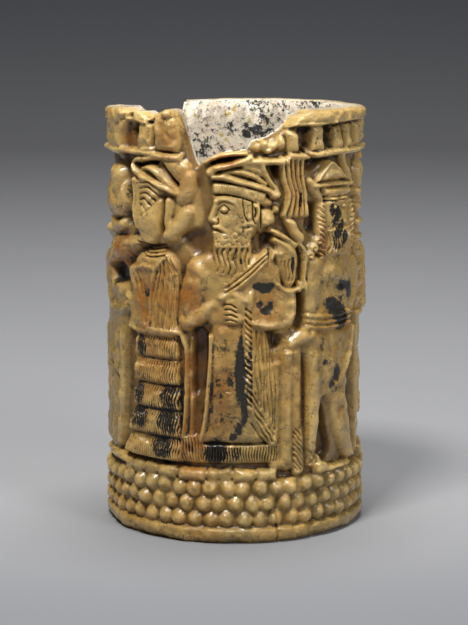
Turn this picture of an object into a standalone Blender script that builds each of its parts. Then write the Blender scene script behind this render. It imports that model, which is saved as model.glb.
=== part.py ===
"""Cylinder seal: a thick-walled, open-ended stone cylinder, carved all round in high relief and broken at the rim.

The stone stands upright on its plain base band, centred on the vertical axis, and its worn face looks along -Y.
The carving is laid out on the unrolled wall: azimuths in degrees from the front, heights in modules, which are
sixtieths of the full height. Its levels run from 0, the sunk ground, to 1, the outer skin of the stone.
"""
import math

import bpy
import numpy as np

# The stone
HEIGHT = 0.0600
BODY_RADIUS = 0.0193
RELIEF_DEPTH = 0.0024
WALL_BEHIND_RELIEF = 0.0022
BARREL_SWELL = 0.00035
EDGE_ROUNDING = 0.0004
TRIANGLES = 9400

# Bands, in modules
BASE_BAND = 2.3
BEAD_TALL = 2.25
BEAD_ROWS = 3
BEADS_ROUND = 49
GROUND_LINE = 9.1
LOWER_BEAM = 54.7
UPPER_BEAM = 59.0

# The broken rim: azimuth, height in modules
RIM_LINE = (
    (-180, 60.0), (-156.4, 60.0), (-155, 56.0), (-154.2, 54.6), (-146, 54.0), (-135, 54.5), (-129.2, 55.4),
    (-127.8, 58.4), (-112, 60.0), (-90, 60.2), (-64, 60.6), (-58, 59.5), (-43, 59.6), (-36, 60.8), (-29, 61.0),
    (-25.5, 58.2), (-21, 54.2), (-18.5, 53.0), (-13, 54.2), (-4, 55.4), (6, 55.5), (9, 56.7), (17, 57.1),
    (24, 58.3), (30, 60.0), (37, 60.8), (75, 60.6), (110, 60.2), (180, 60.0),
)
# The back break runs askew through the wall: the bore's edge of it stands this many degrees further round
BACK_BREAK_AT = -137
BACK_BREAK_SKEW = 9

# Chips along the lower edge: azimuth, half width in degrees, height in modules
CHIPS = (
    (-29, 3.5, 0.6), (-6, 8, 0.35), (26, 8, 0.9), (42, 9, 1.0), (57, 6, 0.5), (96, 5, 0.6), (150, 7, 0.7), (-112, 6, 0.6),
)

STEPS_ROUND = 620
STEPS_UP = 250
STEPS_BORE = 36
MODULE = HEIGHT / 60
ARC = math.radians(1) * BODY_RADIUS / MODULE
BORE_RADIUS = BODY_RADIUS - RELIEF_DEPTH - WALL_BEHIND_RELIEF


def curve(points, steps=5):
    """A smooth line through the points."""
    p = np.array(points, float)
    if len(p) < 3:
        return p
    p = np.vstack([2 * p[0] - p[1], p, 2 * p[-1] - p[-2]])
    out = []
    for a, b, c, d in zip(p[:-3], p[1:-2], p[2:-1], p[3:]):
        for t in np.arange(steps) / steps:
            bow = (2 * a - 5 * b + 4 * c - d) * t ** 2 + (3 * b - a - 3 * c + d) * t ** 3
            out.append(0.5 * (2 * b + (c - a) * t + bow))
    out.append(p[-2])
    return np.array(out)


def ring(points):
    """A smooth closed outline through the points."""
    p = [tuple(q) for q in points]
    return curve(p[-2:] + p + p[:2])[10:-10]


def box(left, right, low, high):
    """The four corners of an upright patch."""
    return [(left, low), (right, low), (right, high), (left, high)]


class Carving:
    """The unrolled wall as a raster of levels, and the tools that shape it."""

    def __init__(self, per_module):
        self.rises = np.arange(-1, 63, 1 / per_module)
        self.turns = np.arange(-180, 180, 1 / (per_module * ARC))
        self.level = np.zeros((len(self.rises), len(self.turns)))
        self.stand(0)

    def stand(self, middle, hand=1):
        """Moves the tools to a figure's own upright line; hand -1 mirrors what follows."""
        self.x = ((self.turns - middle + 180) % 360 - 180) * hand * ARC

    def window(self, points, reach):
        """The part of the raster near the points."""
        p = np.array(points, float)
        x = p[:, 0] * ARC
        cols = np.nonzero((self.x >= x.min() - reach) & (self.x <= x.max() + reach))[0]
        rows = np.nonzero((self.rises >= p[:, 1].min() - reach) & (self.rises <= p[:, 1].max() + reach))[0]
        return np.ix_(rows, cols), *np.meshgrid(self.x[cols], self.rises[rows])

    @staticmethod
    def from_line(X, Z, points, widths):
        """Distance, in modules, outside a round limb along the points."""
        p = np.array(points, float) * (ARC, 1)
        w = np.interp(np.linspace(0, 1, len(p)), np.linspace(0, 1, len(widths)), widths)
        best = np.full(X.shape, 1e9)
        for a, b, wide, end in zip(p[:-1], p[1:], w[:-1], w[1:]):
            e = b - a
            t = np.clip(((X - a[0]) * e[0] + (Z - a[1]) * e[1]) / max(e @ e, 1e-9), 0, 1)
            best = np.minimum(best, np.hypot(X - a[0] - t * e[0], Z - a[1] - t * e[1]) - (wide + (end - wide) * t))
        return best

    @staticmethod
    def from_edge(X, Z, points):
        """Distance, in modules, outside a closed outline."""
        p = np.array(points, float) * (ARC, 1)
        best = np.full(X.shape, 1e9)
        inside = np.zeros(X.shape, bool)
        for a, b in zip(p, np.roll(p, -1, 0)):
            e = b - a
            t = np.clip(((X - a[0]) * e[0] + (Z - a[1]) * e[1]) / max(e @ e, 1e-9), 0, 1)
            best = np.minimum(best, np.hypot(X - a[0] - t * e[0], Z - a[1] - t * e[1]))
            if abs(e[1]) > 1e-9:
                inside ^= ((a[1] > Z) != (b[1] > Z)) & (X < a[0] + (Z - a[1]) * e[0] / e[1])
        return np.where(inside, -best, best)

    def lift(self, where, d, top, edge, foot):
        """Raises what lies inside the distance field to a round-shouldered form."""
        dome = np.sqrt(np.clip(1 - (1 - np.clip(-d / edge, 0, 1)) ** 2, 0, 1))
        self.level[where] = np.where(d < 0, np.maximum(self.level[where], foot + (top - foot) * dome), self.level[where])

    def pad(self, points, top, edge=0.6, foot=0.0, smooth=True):
        """A raised patch."""
        where, X, Z = self.window(points, 1.0)
        self.lift(where, self.from_edge(X, Z, ring(points) if smooth else points), top, edge, foot)

    def limb(self, points, widths, top, foot=0.0, edge=None):
        """A raised rounded limb along a line."""
        widths = np.atleast_1d(np.asarray(widths, float))
        where, X, Z = self.window(points, widths.max() + 0.8)
        self.lift(where, self.from_line(X, Z, curve(points), widths), top, edge or float(widths.max()), foot)

    def ball(self, place, size, top, foot=0.0):
        """A raised knob, round or oval."""
        wide, tall = np.broadcast_to(np.asarray(size, float), 2)
        where, X, Z = self.window([place], max(wide, tall) + 0.5)
        k = np.hypot((X - place[0] * ARC) / wide, (Z - place[1]) / tall)
        self.lift(where, (k - 1) * min(wide, tall), top, float(min(wide, tall)), foot)

    def swell(self, place, size, amount):
        """A soft rise or, with a negative amount, a soft hollow in what is there."""
        wide, tall = np.broadcast_to(np.asarray(size, float), 2)
        where, X, Z = self.window([place], max(wide, tall))
        k = np.hypot((X - place[0] * ARC) / wide, (Z - place[1]) / tall)
        self.level[where] += amount * np.clip(1 - k ** 2, 0, 1)

    def sink(self, points, floor, edge=0.8):
        """A patch cut down to a floor."""
        where, X, Z = self.window(points, 1.0)
        d = self.from_edge(X, Z, ring(points))
        t = np.clip(-d / edge, 0, 1)
        goal = np.minimum(self.level[where], floor)
        self.level[where] += (goal - self.level[where]) * t * t * (3 - 2 * t)

    def wear(self, reach):
        """Softens every edge a little, as long handling does; reach is in modules."""
        for axis, step in ((0, self.rises[1] - self.rises[0]), (1, (self.turns[1] - self.turns[0]) * ARC)):
            share = min(0.25, 0.5 * (reach / step) ** 2)
            for _ in range(max(1, round(0.5 * (reach / step) ** 2 / share))):
                beside = np.roll(self.level, 1, axis) + np.roll(self.level, -1, axis) - 2 * self.level
                self.level += share * beside

    def cut(self, points, width, depth):
        """A groove along a line."""
        where, X, Z = self.window(points, width * 2.5)
        d = self.from_line(X, Z, curve(points), (0.0, 0.0))
        self.level[where] -= depth * np.exp(-(d / width) ** 2)


def bands(c):
    """The base band and the rows of bosses above it, all round."""
    c.stand(0)
    rows = c.rises < GROUND_LINE
    c.level[rows] = 0.5
    band = np.clip((BASE_BAND - c.rises) / 0.45, 0, 1)
    c.level[rows] = np.maximum(c.level, (0.5 + 0.5 * np.sqrt(1 - (1 - band) ** 2))[:, None])[rows]
    pitch = 360 / BEADS_ROUND
    for row in range(BEAD_ROWS):
        middle = BASE_BAND + BEAD_TALL * (row + 0.5)
        for i in range(BEADS_ROUND):
            at = -180 + pitch * (i + 0.5 * (row % 2)) + 0.5 * math.sin(i * 2.3 + row * 1.7)
            c.ball((at, middle + 0.07 * math.sin(i * 1.9 + row)), (0.48 * pitch * ARC, 0.52 * BEAD_TALL), 1.0, 0.4)


def building(c):
    """The colonnade above the figures: two thin beams, posts with dark gaps between them and a rounded eave."""
    c.stand(0)
    low = LOWER_BEAM + 0.5
    for at in list(range(40, 308, 12)) + [319]:
        here = (at + 180) % 360 - 180
        c.pad([(here - 3.5, low), (here + 3.5, low), (here + 3.3, UPPER_BEAM), (here - 3.3, UPPER_BEAM)], 0.84, 1.1, 0.2,
              smooth=False)
    for at, high in ((-30.5, 61.2), (11, 57.0), (16, 56.8), (21.5, 57.6), (27.5, 58.6)):
        c.pad([(at - 2.6, low), (at + 2.6, low), (at + 2.1, high), (at - 2.1, high)], 0.78, 0.8, 0.3, smooth=False)
    lost = (c.turns > -20) & (c.turns < 3)
    for middle, half in ((LOWER_BEAM, 0.5), (UPPER_BEAM + 0.1, 0.42)):
        rows = np.abs(c.rises - middle) < half
        dome = np.sqrt(1 - ((c.rises[rows] - middle) / half) ** 2)
        beam = np.where(lost, 0.3, 0.3 + 0.68 * dome[:, None])
        c.level[rows] = np.maximum(c.level[rows], beam)
    eave = c.rises > UPPER_BEAM + 0.35
    up = np.clip((c.rises[eave] - UPPER_BEAM - 0.35) / 1.4, 0, 1)
    c.level[eave] = np.maximum(c.level[eave], (0.94 - 0.4 * up ** 2)[:, None])


def bearded_profile(c):
    """A head in profile facing the low side of its own line, with a long beard, a bun behind and a horned cap."""
    c.pad([(-8.8, 43.5), (-9.8, 45.4), (-9, 47.5), (-8.8, 50.2), (6, 50.6), (11, 49.6), (11, 46.5), (7.5, 43.5)], 0.78, 1.8,
          0.3)
    c.ball((-1, 46.2), (2.2, 1.7), 0.88, 0.5)
    c.limb([(-9.2, 48.2), (-10, 46.9), (-9.7, 46)], (0.45, 0.75, 0.4), 0.84, 0.3)
    c.ball((-2.2, 47.4), (0.95, 0.6), 0.93, 0.7)
    c.limb([(-6.5, 48.5), (-2, 49.1), (3, 48.5)], (0.3, 0.4, 0.3), 0.9, 0.6)
    c.ball((8.8, 46.9), (0.5, 0.95), 0.96, 0.6)
    c.limb([(3, 46.2), (3.2, 44.4), (5, 43)], (0.9, 1.1, 1.0), 0.92, 0.6)
    c.limb([(-9.4, 44.4), (-5.5, 44.8), (-2, 44)], (0.4, 0.55, 0.4), 0.92, 0.6)
    c.pad([(-9.6, 43.3), (0, 43.9), (7, 43.4), (7, 40.2), (5, 38.6), (-2, 38), (-8.5, 38.6), (-9.9, 40.5)], 0.9, 0.9, 0.4)
    c.ball((13.4, 46), (1.6, 2.05), 0.98, 0.3)
    c.limb([(9, 49.8), (12.5, 48.8), (16, 48.9)], (0.6, 0.9, 0.5), 0.8, 0.3)
    c.ball((18.2, 47.2), (0.5, 0.6), 0.85, 0.3)


def horned_cap(c):
    """The tall horned cap of the bearded figure: three horns one over the other, a dome and a hanging strap."""
    c.pad([(-9.5, 50.2), (-10.5, 52), (-6, 54), (6, 54.6), (13, 52.5), (17, 49.8), (8, 50)], 0.55, 1.0, 0.3)
    c.limb([(-9.5, 50.2), (0, 50.3), (10, 50)], (0.45, 0.5, 0.4), 0.84, 0.4)
    c.limb([(-9.3, 51.5), (0, 51.3), (9, 50.9), (17, 49.7)], (0.5, 0.62, 0.62, 0.5), 0.95, 0.4)
    c.limb([(-7.6, 52.4), (0, 52.1), (8, 51.7), (13.5, 50.9)], (0.45, 0.5, 0.45, 0.3), 0.95, 0.4)
    c.pad([(-3, 52.9), (3, 53.7), (9, 53.4), (13, 51.8), (6, 52.3)], 0.88, 0.8, 0.4)
    c.limb([(-11.3, 52.7), (-7, 53.4), (-2, 54.1), (6, 54.5)], (0.6, 0.62, 0.5, 0.4), 0.98, 0.4)
    c.limb([(11.5, 54.2), (13.6, 52.4), (18.5, 50.3)], (0.45, 0.5, 0.5), 0.96, 0.3)
    c.ball((18.3, 49.4), (0.85, 0.75), 1.0, 0.3)


def draped_woman(c, middle, hand=1):
    """A standing figure in a flounced dress, facing the high side of its own line, its face worn smooth."""
    c.stand(middle, hand)
    borders = (29.6, 26.0, 22.3, 18.7, 14.8, 11.3)
    left = (-10.5, -11.0, -11.5, -13.0, -16.5, -21.5)
    right = (13.0, 13.5, 13.8, 14.0, 14.5, 14.5)
    c.pad([(left[0], borders[0] + 0.6), *zip(left[1:], borders[1:]), *reversed(list(zip(right, borders)))],
          0.7, 1.0, 0.3, smooth=False)
    for high, low, a, b, e, f in zip(borders, borders[1:], left, left[1:], right, right[1:]):
        c.pad([(a + 0.3, low + 0.75 * (high - low)), (b, low), (f, low), (e - 0.2, low + 0.75 * (high - low))], 0.86, 0.7,
              0.65, smooth=False)
        c.cut([(b, low - 0.05), (f, low - 0.05)], 0.25, 0.35)
    c.pad([(14, 15.2), (24, 15.6), (25, 11.4), (14, 11.4)], 0.55, 0.6, 0.3, smooth=False)
    c.limb([(15, 30), (15.8, 24), (15.6, 17.5)], (0.5, 0.42), 0.62, 0.3)
    c.pad([(-15, 29.7), (-16, 32), (-14, 36), (-13, 38.5), (-9, 40.6), (-1, 41.5), (9, 41.2), (14, 39), (15, 34), (13.5, 29.5)],
          0.74, 1.4, 0.3)
    c.limb([(-11, 38), (-8, 34.5), (-4.2, 30.4)], (1.4, 1.3, 1.0), 0.88, 0.6)
    c.limb([(-17, 34.2), (-13.5, 33.6), (-11.5, 31.4)], (0.8, 0.8, 0.6), 0.86, 0.5)
    c.limb([(-14, 38), (-7, 39.1), (1.3, 39.3), (-2, 36.2)], (0.4, 0.4), 0.92, 0.6)
    c.pad([(-1.2, 36), (3, 39.3), (9, 40.9), (13, 39), (13.6, 30), (-1.5, 30)], 0.88, 1.0, 0.6)
    c.limb([(-14, 30.1), (-8, 29.7), (3, 29.8), (13.5, 30)], (0.45, 0.45), 0.86, 0.5)
    c.pad([(-9, 42), (-10, 46), (-11, 50), (-10.5, 53.6), (4, 54.2), (16.5, 53.6), (22, 50.5), (25.5, 46), (22, 43.8), (12, 42)],
          0.52, 1.6, 0.3)
    for high in (42.3, 41.4):
        c.limb([(-9, high - 0.1), (0, high + 0.1), (8, high)], (0.45, 0.4), 0.74, 0.4)
    c.pad([(3, 49), (12, 49.5), (19, 48.6), (22.5, 46), (18, 43.6), (8, 42.8)], 0.68, 1.5, 0.5)
    c.ball((-1.2, 45.7), (2.6, 3.3), 0.92, 0.4)
    c.limb([(9.3, 43.2), (9.2, 45), (8, 47.6)], (1.1, 1.45, 0.9), 0.9, 0.4)
    c.limb([(12.5, 43.8), (15.5, 45.9), (18.2, 46.9)], (0.9, 1.6, 1.0), 0.86, 0.4)
    c.limb([(15.5, 48.9), (17.8, 50.6), (18.6, 52.6)], (1.1, 1.35, 0.9), 0.94, 0.4)
    for x in (-10.2, -7.9):
        c.limb([(x, 50.3), (x - 0.4, 47), (x + 0.8, 44.2)], (0.42, 0.42), 0.76, 0.4)
    for rise, end in ((49.6, 6), (48.5, 3), (47.3, -1.5)):
        c.limb([(-8, rise + 0.2), (-3, rise - 0.3), (end, rise - 0.7)], (0.45, 0.5, 0.3), 0.8, 0.4)
    c.limb([(-12, 52.9), (-9, 51.9), (-3, 50.9), (5, 49.9), (13.5, 49.1)], (0.5, 0.72, 0.78, 0.72, 0.6), 0.92, 0.4)
    c.limb([(-12, 53.2), (-8, 53.9), (3, 54.1)], (0.5, 0.42, 0.35), 0.92, 0.4)
    c.limb([(-6, 52.4), (1, 52.7), (8, 51.7), (14, 50.3)], (0.45, 0.9, 0.8, 0.35), 0.9, 0.4)
    c.pad([(6, 53.9), (13, 54.2), (19, 53.1), (19.5, 51.4), (14, 51.2)], 0.84, 0.9, 0.4)


def bearded_god(c, middle, hand=1):
    """A standing bearded figure in profile facing the low side of its own line, a cord hanging from its fist."""
    c.stand(middle, hand)
    c.pad([(-10.5, 32), (-10.2, 22), (-13, 17), (-15, 14.3), (20, 14.3), (18.5, 22), (16, 31)], 0.74, 1.5, 0.3, smooth=False)
    c.pad([(-15.5, 14.3), (20.5, 14.3), (20.5, 11.5), (-15.5, 11.5)], 0.74, 0.7, 0.3, smooth=False)
    c.cut([(-16, 14.3), (20, 14.3)], 0.22, 0.3)
    c.pad([(-21, 39.5), (-13, 41.2), (6, 41.5), (17, 40.5), (21, 37), (20, 33), (19, 30.6), (9, 31.2), (-10, 31), (-14, 34)],
          0.76, 1.6, 0.3)
    c.pad([(4, 34.5), (7, 38), (14, 40.8), (20, 39.6), (26.5, 36), (27.2, 31.4), (22, 30.4), (10, 31.4)], 0.82, 1.0, 0.3)
    c.limb([(-16, 38.6), (-19, 35.5), (-20.6, 32.3)], (2.2, 2.2, 1.6), 0.96, 0.3)
    c.limb([(-20.6, 31.8), (-15, 32.8), (-8, 34.3), (-3, 35)], (1.5, 1.45, 1.2, 1.0), 0.98, 0.4)
    c.pad([(-4.6, 34.8), (0, 35.8), (4.6, 34.8), (4.8, 33), (3, 31.5), (-3, 31.5), (-4.6, 32.8)], 0.98, 0.8, 0.5)
    c.limb([(-6, 35), (0, 35.9), (5.5, 34.6)], (0.6, 0.62, 0.5), 1.02, 0.6)
    for side in (-1.0, 0, 1.0):
        c.limb([(-4, 36.2 + side * 0.6), (4, 38 + side * 0.7), (13.5, 40.9 + side * 0.3)], (0.38, 0.4, 0.3), 0.92, 0.68)
    c.limb([(21, 39), (21.5, 36), (20.5, 33)], (0.35, 0.35), 0.9, 0.7)
    c.limb([(8, 36.8), (6, 35.2), (5.8, 30), (5.8, 24), (6.3, 17.3)], (0.4, 0.75, 0.75, 0.7, 0.55), 0.97, 0.6)
    c.limb([(8, 24.5), (11.5, 19.5), (15.4, 14.8)], (0.9, 1.3, 0.9), 0.9, 0.6)
    c.limb([(1.8, 31), (2.6, 24), (3.2, 18)], (0.6, 0.5), 0.84, 0.6)
    bearded_profile(c)
    horned_cap(c)


def gate_posts(c, middle, hand=1):
    """Tall plain posts behind the figures, the outer one ending in a tassel."""
    c.stand(middle, hand)
    c.pad([(-10, 10), (-11, 20), (-13, 29), (-9, 30.5), (2, 30.5), (4, 26), (4.8, 10.2)], 0.55, 0.8, 0.2)
    for at, low, high, half, top in ((-9.2, 10, 26, 1.1, 0.72), (-3.4, 10, 28.5, 1.5, 0.82), (1.2, 16, 29, 1.3, 0.78)):
        c.limb([(at, low + half), (at - 0.3, high - half)], (half * 0.8, half * 0.8), top, 0.4)
    c.pad([(-0.6, 16.4), (3.6, 16.4), (5.4, 13), (4.8, 10.2), (-0.4, 10.2)], 0.8, 0.8, 0.4)


def waving_strands(c, middle, hand=1):
    """Streams of water falling in side-by-side strands above a small bearded head in a frame."""
    c.stand(middle, hand)
    c.pad([(-6, 54.3), (7, 54.3), (7.5, 50), (6, 46), (-4, 46), (-5.5, 50)], 0.45, 0.5, 0.2)
    for i in range(6):
        x = -5.2 + 2.15 * i
        y = 0.82 * x
        c.limb([(x, 54.3), (x + 0.8, 51.6), (y + 0.4, 49.2), (y - 0.2, 46.4)], (0.4, 0.42, 0.36), 0.82, 0.42)
    c.pad([(-4.8, 45.4), (-2.5, 46.6), (3, 45.8), (6.2, 43.6), (4.5, 42.8), (-2, 44)], 0.9, 0.8, 0.3)
    for drop in (0, 1.0):
        c.limb([(-8, 44.8 - drop), (-3, 43.9 - drop), (3, 42.7 - drop)], (0.45, 0.45), 0.9, 0.4)
    c.pad([(-8, 43.5), (-2, 43.4), (3, 41.8), (3.4, 38.5), (1, 36.4), (-3, 36.2), (-6.5, 38.2), (-9, 41)], 0.84, 1.2, 0.3)
    c.limb([(4.4, 43), (6, 39.8), (4.4, 36.4)], (0.45, 0.5, 0.4), 0.86, 0.3)
    c.limb([(-5.5, 36.2), (-2, 35.5), (6.5, 35.7)], (0.42, 0.42), 0.94, 0.4)


def curled_hero(c, middle, hand=1):
    """A standing frontal figure with side curls, a square beard and a belt of three bands, its far leg stepping out."""
    c.stand(middle, hand)
    c.pad([(-18, 38), (-15, 40.2), (0, 41), (14, 40.2), (17, 36), (13, 32), (10, 30), (-19, 30), (-18.5, 33)], 0.74, 1.8, 0.3)
    c.limb([(-15, 39), (-17.5, 36), (-17, 33.6)], (1.5, 1.5, 1.1), 0.88, 0.5)
    c.limb([(-17, 33.2), (-8, 34.6), (2, 36.3), (10, 37)], (1.1, 1.2, 1.1, 0.9), 0.9, 0.5)
    c.limb([(14, 38.5), (15.5, 35), (12, 32.6)], (1.4, 1.2, 1.0), 0.86, 0.5)
    c.pad([(-19, 30.4), (-22.5, 28), (-19.6, 24), (-19.4, 12), (-17, 10.2), (-11.5, 10.3), (-11.6, 15), (-10.5, 19), (-6.5, 20.6),
           (-1, 19.4), (4, 15.5), (8.5, 11.6), (12, 9.8), (19.5, 9.8), (15.5, 13.5), (9.5, 20), (8.2, 25), (12.6, 29.3),
           (9, 30.6)], 0.82, 1.8, 0.2)
    c.limb([(-15, 28), (-15.4, 20), (-15.6, 13)], (1.2, 1.1, 0.8), 0.93, 0.7)
    c.limb([(11.5, 29.3), (9, 26.5), (3.5, 23.2), (-2, 21.2)], (0.6, 0.75, 0.7, 0.35), 0.96, 0.6)
    c.limb([(-21, 28.3), (-16, 28.6)], (1.3, 1.1), 0.95, 0.5)
    for low in (30.3, 31.1, 31.9):
        c.limb([(-19, low + 0.3), (-8, low - 0.1), (8, low + 0.1)], (0.4, 0.42), 0.9, 0.6)
    c.pad([(-14, 12), (-8, 11.8), (-4.5, 9.9), (-6, 9.1), (-14.5, 9.2)], 0.94, 0.8, 0.3)
    c.pad([(-8, 10.2), (0, 9.9), (13, 9.9), (13.5, 9), (-8, 9)], 0.9, 0.5, 0.3, smooth=False)
    for side in (-1, 1):
        c.limb([(side * 10.3, 47.4), (side * 10.8, 44), (side * 10, 40.4)], (0.7, 0.85, 0.75), 0.86, 0.4)
        for i in range(3):
            c.ball((side * (12.6 + 2.3 * i), 42.2 - 0.95 * i), (0.9, 0.85), 0.86, 0.3)
    c.pad([(-9, 40.4), (-9, 47.6), (-8, 49.4), (8, 49.4), (9, 47.6), (9, 40.4)], 0.84, 1.3, 0.3, smooth=False)
    c.pad([(-8.4, 44.6), (8.4, 44.6), (8.8, 40.3), (-8.8, 40.3)], 0.93, 0.8, 0.6, smooth=False)
    c.limb([(0, 47.6), (0, 46.4), (0, 45.6)], (0.35, 0.5, 0.75), 0.98, 0.7)
    for side in (-1, 1):
        c.ball((side * 3.8, 47.1), (0.8, 0.5), 0.93, 0.75)
        c.limb([(side * 1.6, 48), (side * 4, 48.4), (side * 7, 47.9)], (0.3, 0.35, 0.25), 0.92, 0.7)
    for low, half in ((49.5, 14), (50.4, 12.5)):
        c.limb([(-half, low), (0, low + 0.1), (half, low - 0.1)], (0.5, 0.48), 0.88, 0.3)
    c.pad([(-12.5, 50.9), (-7, 52.4), (-3.5, 53.4), (2, 52.9), (13, 50.9)], 0.82, 0.9, 0.3, smooth=False)
    c.limb([(-9, 51.3), (-2, 51.9), (7, 51.3)], (0.5, 0.75, 0.5), 0.92, 0.5)
    c.limb([(6, 54.2), (8, 52.6), (13.5, 50.6)], (0.45, 0.5), 0.86, 0.3)


def ringed_post(c, middle, hand=1):
    """A tall gatepost of reeds bound with rings, with a loop at its head."""
    c.stand(middle, hand)
    c.limb([(0, 11), (0, 30), (0, 49)], (1.3, 1.25, 1.2), 0.7, 0.2)
    for rise in np.arange(31, 50, 2.2):
        c.limb([(-3.6, rise), (0, rise - 0.1), (3.6, rise)], (0.6, 0.6), 0.86, 0.5)
    for i in range(9):
        turn = math.radians(-60 + 30 * i)
        c.ball((2.6 - 3.4 * math.cos(turn), 50.8 + 1.5 * math.sin(turn)), 0.8, 0.85, 0.3)


def attendant(c, middle, hand=1):
    """A plainly dressed, worn figure in profile facing the high side of its own line, one arm held out."""
    c.stand(middle, hand)
    c.pad([(-13, 39), (-8, 42), (8, 42.5), (13, 40), (12, 30), (11, 22), (6.5, 12), (-16, 12), (-13, 22), (-14, 32)],
          0.74, 2.2, 0.3)
    c.limb([(-10, 38.5), (2, 40), (14, 41.3), (24, 42.6)], (2.0, 1.9, 1.5, 0.9), 0.92, 0.3)
    c.limb([(-10, 37), (-4, 33), (6, 31.8), (12.5, 32.6)], (1.9, 1.6, 1.3, 0.9), 0.9, 0.3)
    c.pad([(-11, 47), (-9.5, 51), (-2, 52.9), (8, 52.2), (13.5, 49.5), (12, 46.6), (4, 45.2), (-8, 44.8)], 0.95, 2.6, 0.3)
    c.limb([(-6, 44.6), (0, 43.7), (8, 44.2)], (0.9, 1.0, 0.8), 0.72, 0.3)
    for i in range(4):
        c.limb([(-9 + 6 * i, 29), (-10 + 6 * i, 20), (-12 + 5.6 * i, 12.6)], (0.9, 1.1, 0.9), 0.86, 0.5)
    c.limb([(-13, 10.6), (4, 10.4), (11, 10.1)], (0.8, 0.9, 0.7), 0.86, 0.4)


def footing(c):
    """The ledges that the figures stand on."""
    c.stand(0)
    for left, right in ((-44, -25), (-23.5, -12), (-1.5, 9), (10, 20.5)):
        c.pad(box(left, right, 9.0, 10.9), 0.9, 0.6, 0.4, smooth=False)
    for i in range(14):
        at = 78 + 17 * i
        c.pad(box(at, at + 11, 9.0, 10.9), 0.85, 0.6, 0.4, smooth=False)


def hollows(c):
    """The places where the ground between the figures is cut deepest."""
    for middle in (0, 112):
        c.stand(middle)
        c.sink([(-21.5, 30.2), (-10.8, 30.4), (-10.8, 24), (-14, 21.5), (-20.5, 21.5)], -0.2, 1.0)
        c.sink([(-20, 21), (-14, 21), (-15, 15), (-19, 15)], 0.15, 1.0)
        c.sink([(-27, 43.4), (-17, 45.2), (-10.5, 44.2), (-11, 41.6), (-20, 40.8)], 0.12, 1.0)
        c.sink([(10.5, 43.9), (17, 44.4), (15.5, 42.6), (10.5, 41.5)], 0.0)
        c.sink([(13.8, 54.2), (19.4, 54.2), (19.6, 52.2), (17.6, 52)], -0.1)
        c.sink([(12, 30.6), (20, 30.2), (22, 29.8), (20, 28), (15.5, 27.5)], 0.15)
    for middle in (52, -172):
        c.stand(middle)
        c.sink([(-21, 54.2), (-8, 54.2), (-12, 53), (-18, 52.2), (-20.6, 52.8)], 0.0)
        c.sink([(-18.5, 47.6), (-13, 47.8), (-12.2, 44.5), (-16, 43.4), (-18.6, 45)], 0.0)
        c.sink([(-25, 35.4), (-20.4, 35.2), (-20.4, 31), (-25, 31)], 0.0)
        c.sink([(-10.6, 18), (-7, 20), (-1, 18.8), (4, 15), (9.5, 10.6), (6, 10.1), (-7.6, 10.8), (-10.6, 13)], -0.15, 1.3)
        c.sink([(13.4, 29), (19, 30), (20, 12), (16, 13.6), (11, 19.5), (9.6, 24.5)], 0.05, 1.2)
        c.sink([(11.8, 47), (18.5, 46.5), (16.5, 43.5), (12.4, 44)], 0.05)
    c.stand(0)
    c.sink([(-61, 46.4), (-53, 46), (-53.5, 44), (-60, 44.2)], 0.0)
    c.sink([(-64, 54.1), (-52, 54.1), (-53, 51), (-58, 52.2)], 0.15)
    c.sink([(-74, 38), (-62, 39.5), (-56, 38), (-57, 35.5), (-70, 35.6)], 0.1, 1.0)


def damage(c):
    """Old breaks: the line across the worn face, the parted beam and the crack up from the foot."""
    c.stand(0)
    c.cut([(-44.5, 45.6), (-34, 48.6), (-26, 50.6), (-20, 52.6)], 0.09, 0.14)
    c.cut([(29, 56.6), (33, 55.4), (38, 53.8)], 0.2, 0.7)
    c.cut([(18.3, 0.6), (18.9, 2.4), (18.2, 5), (19.4, 8)], 0.18, 0.5)


def carve(c):
    """Lays out the whole wall: the worn face at the front, plainer figures in keeping behind."""
    c.level[:] = 0.3
    bands(c)
    gate_posts(c, 27)
    attendant(c, -69)
    draped_woman(c, -39)
    curled_hero(c, 52)
    bearded_god(c, 0)
    waving_strands(c, 25)
    ringed_post(c, 74)
    bearded_god(c, 112)
    ringed_post(c, 144)
    curled_hero(c, -172)
    ringed_post(c, -144)
    attendant(c, -117)
    footing(c)
    hollows(c)
    building(c)
    damage(c)
    c.level = np.clip(c.level, -0.25, 1.0)
    c.wear(0.1)


def sample(c, turns, rises):
    """Reads the raster of levels at any points of the wall."""
    step_x = c.turns[1] - c.turns[0]
    step_z = c.rises[1] - c.rises[0]
    u = (turns + 180) % 360 / step_x
    v = np.clip((rises - c.rises[0]) / step_z, 0, len(c.rises) - 1.001)
    i, j = np.floor(u).astype(int) % len(c.turns), np.floor(v).astype(int)
    fu, fv = u - np.floor(u), v - j
    k = (i + 1) % len(c.turns)
    low = c.level[j, i] * (1 - fu) + c.level[j, k] * fu
    high = c.level[j + 1, i] * (1 - fu) + c.level[j + 1, k] * fu
    return low * (1 - fv) + high * fv


def rough(turns, rises, seed):
    """A gentle, repeatable unevenness between -1 and 1."""
    t = np.radians(turns)
    total = 0
    for k, (a, b) in enumerate(((3, 0.31), (7, 0.9), (13, 1.7), (29, 2.6))):
        total = total + np.sin(a * t + b * rises + seed * (k + 1.3)) * 0.6 ** k
    return total / 2.2


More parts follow.
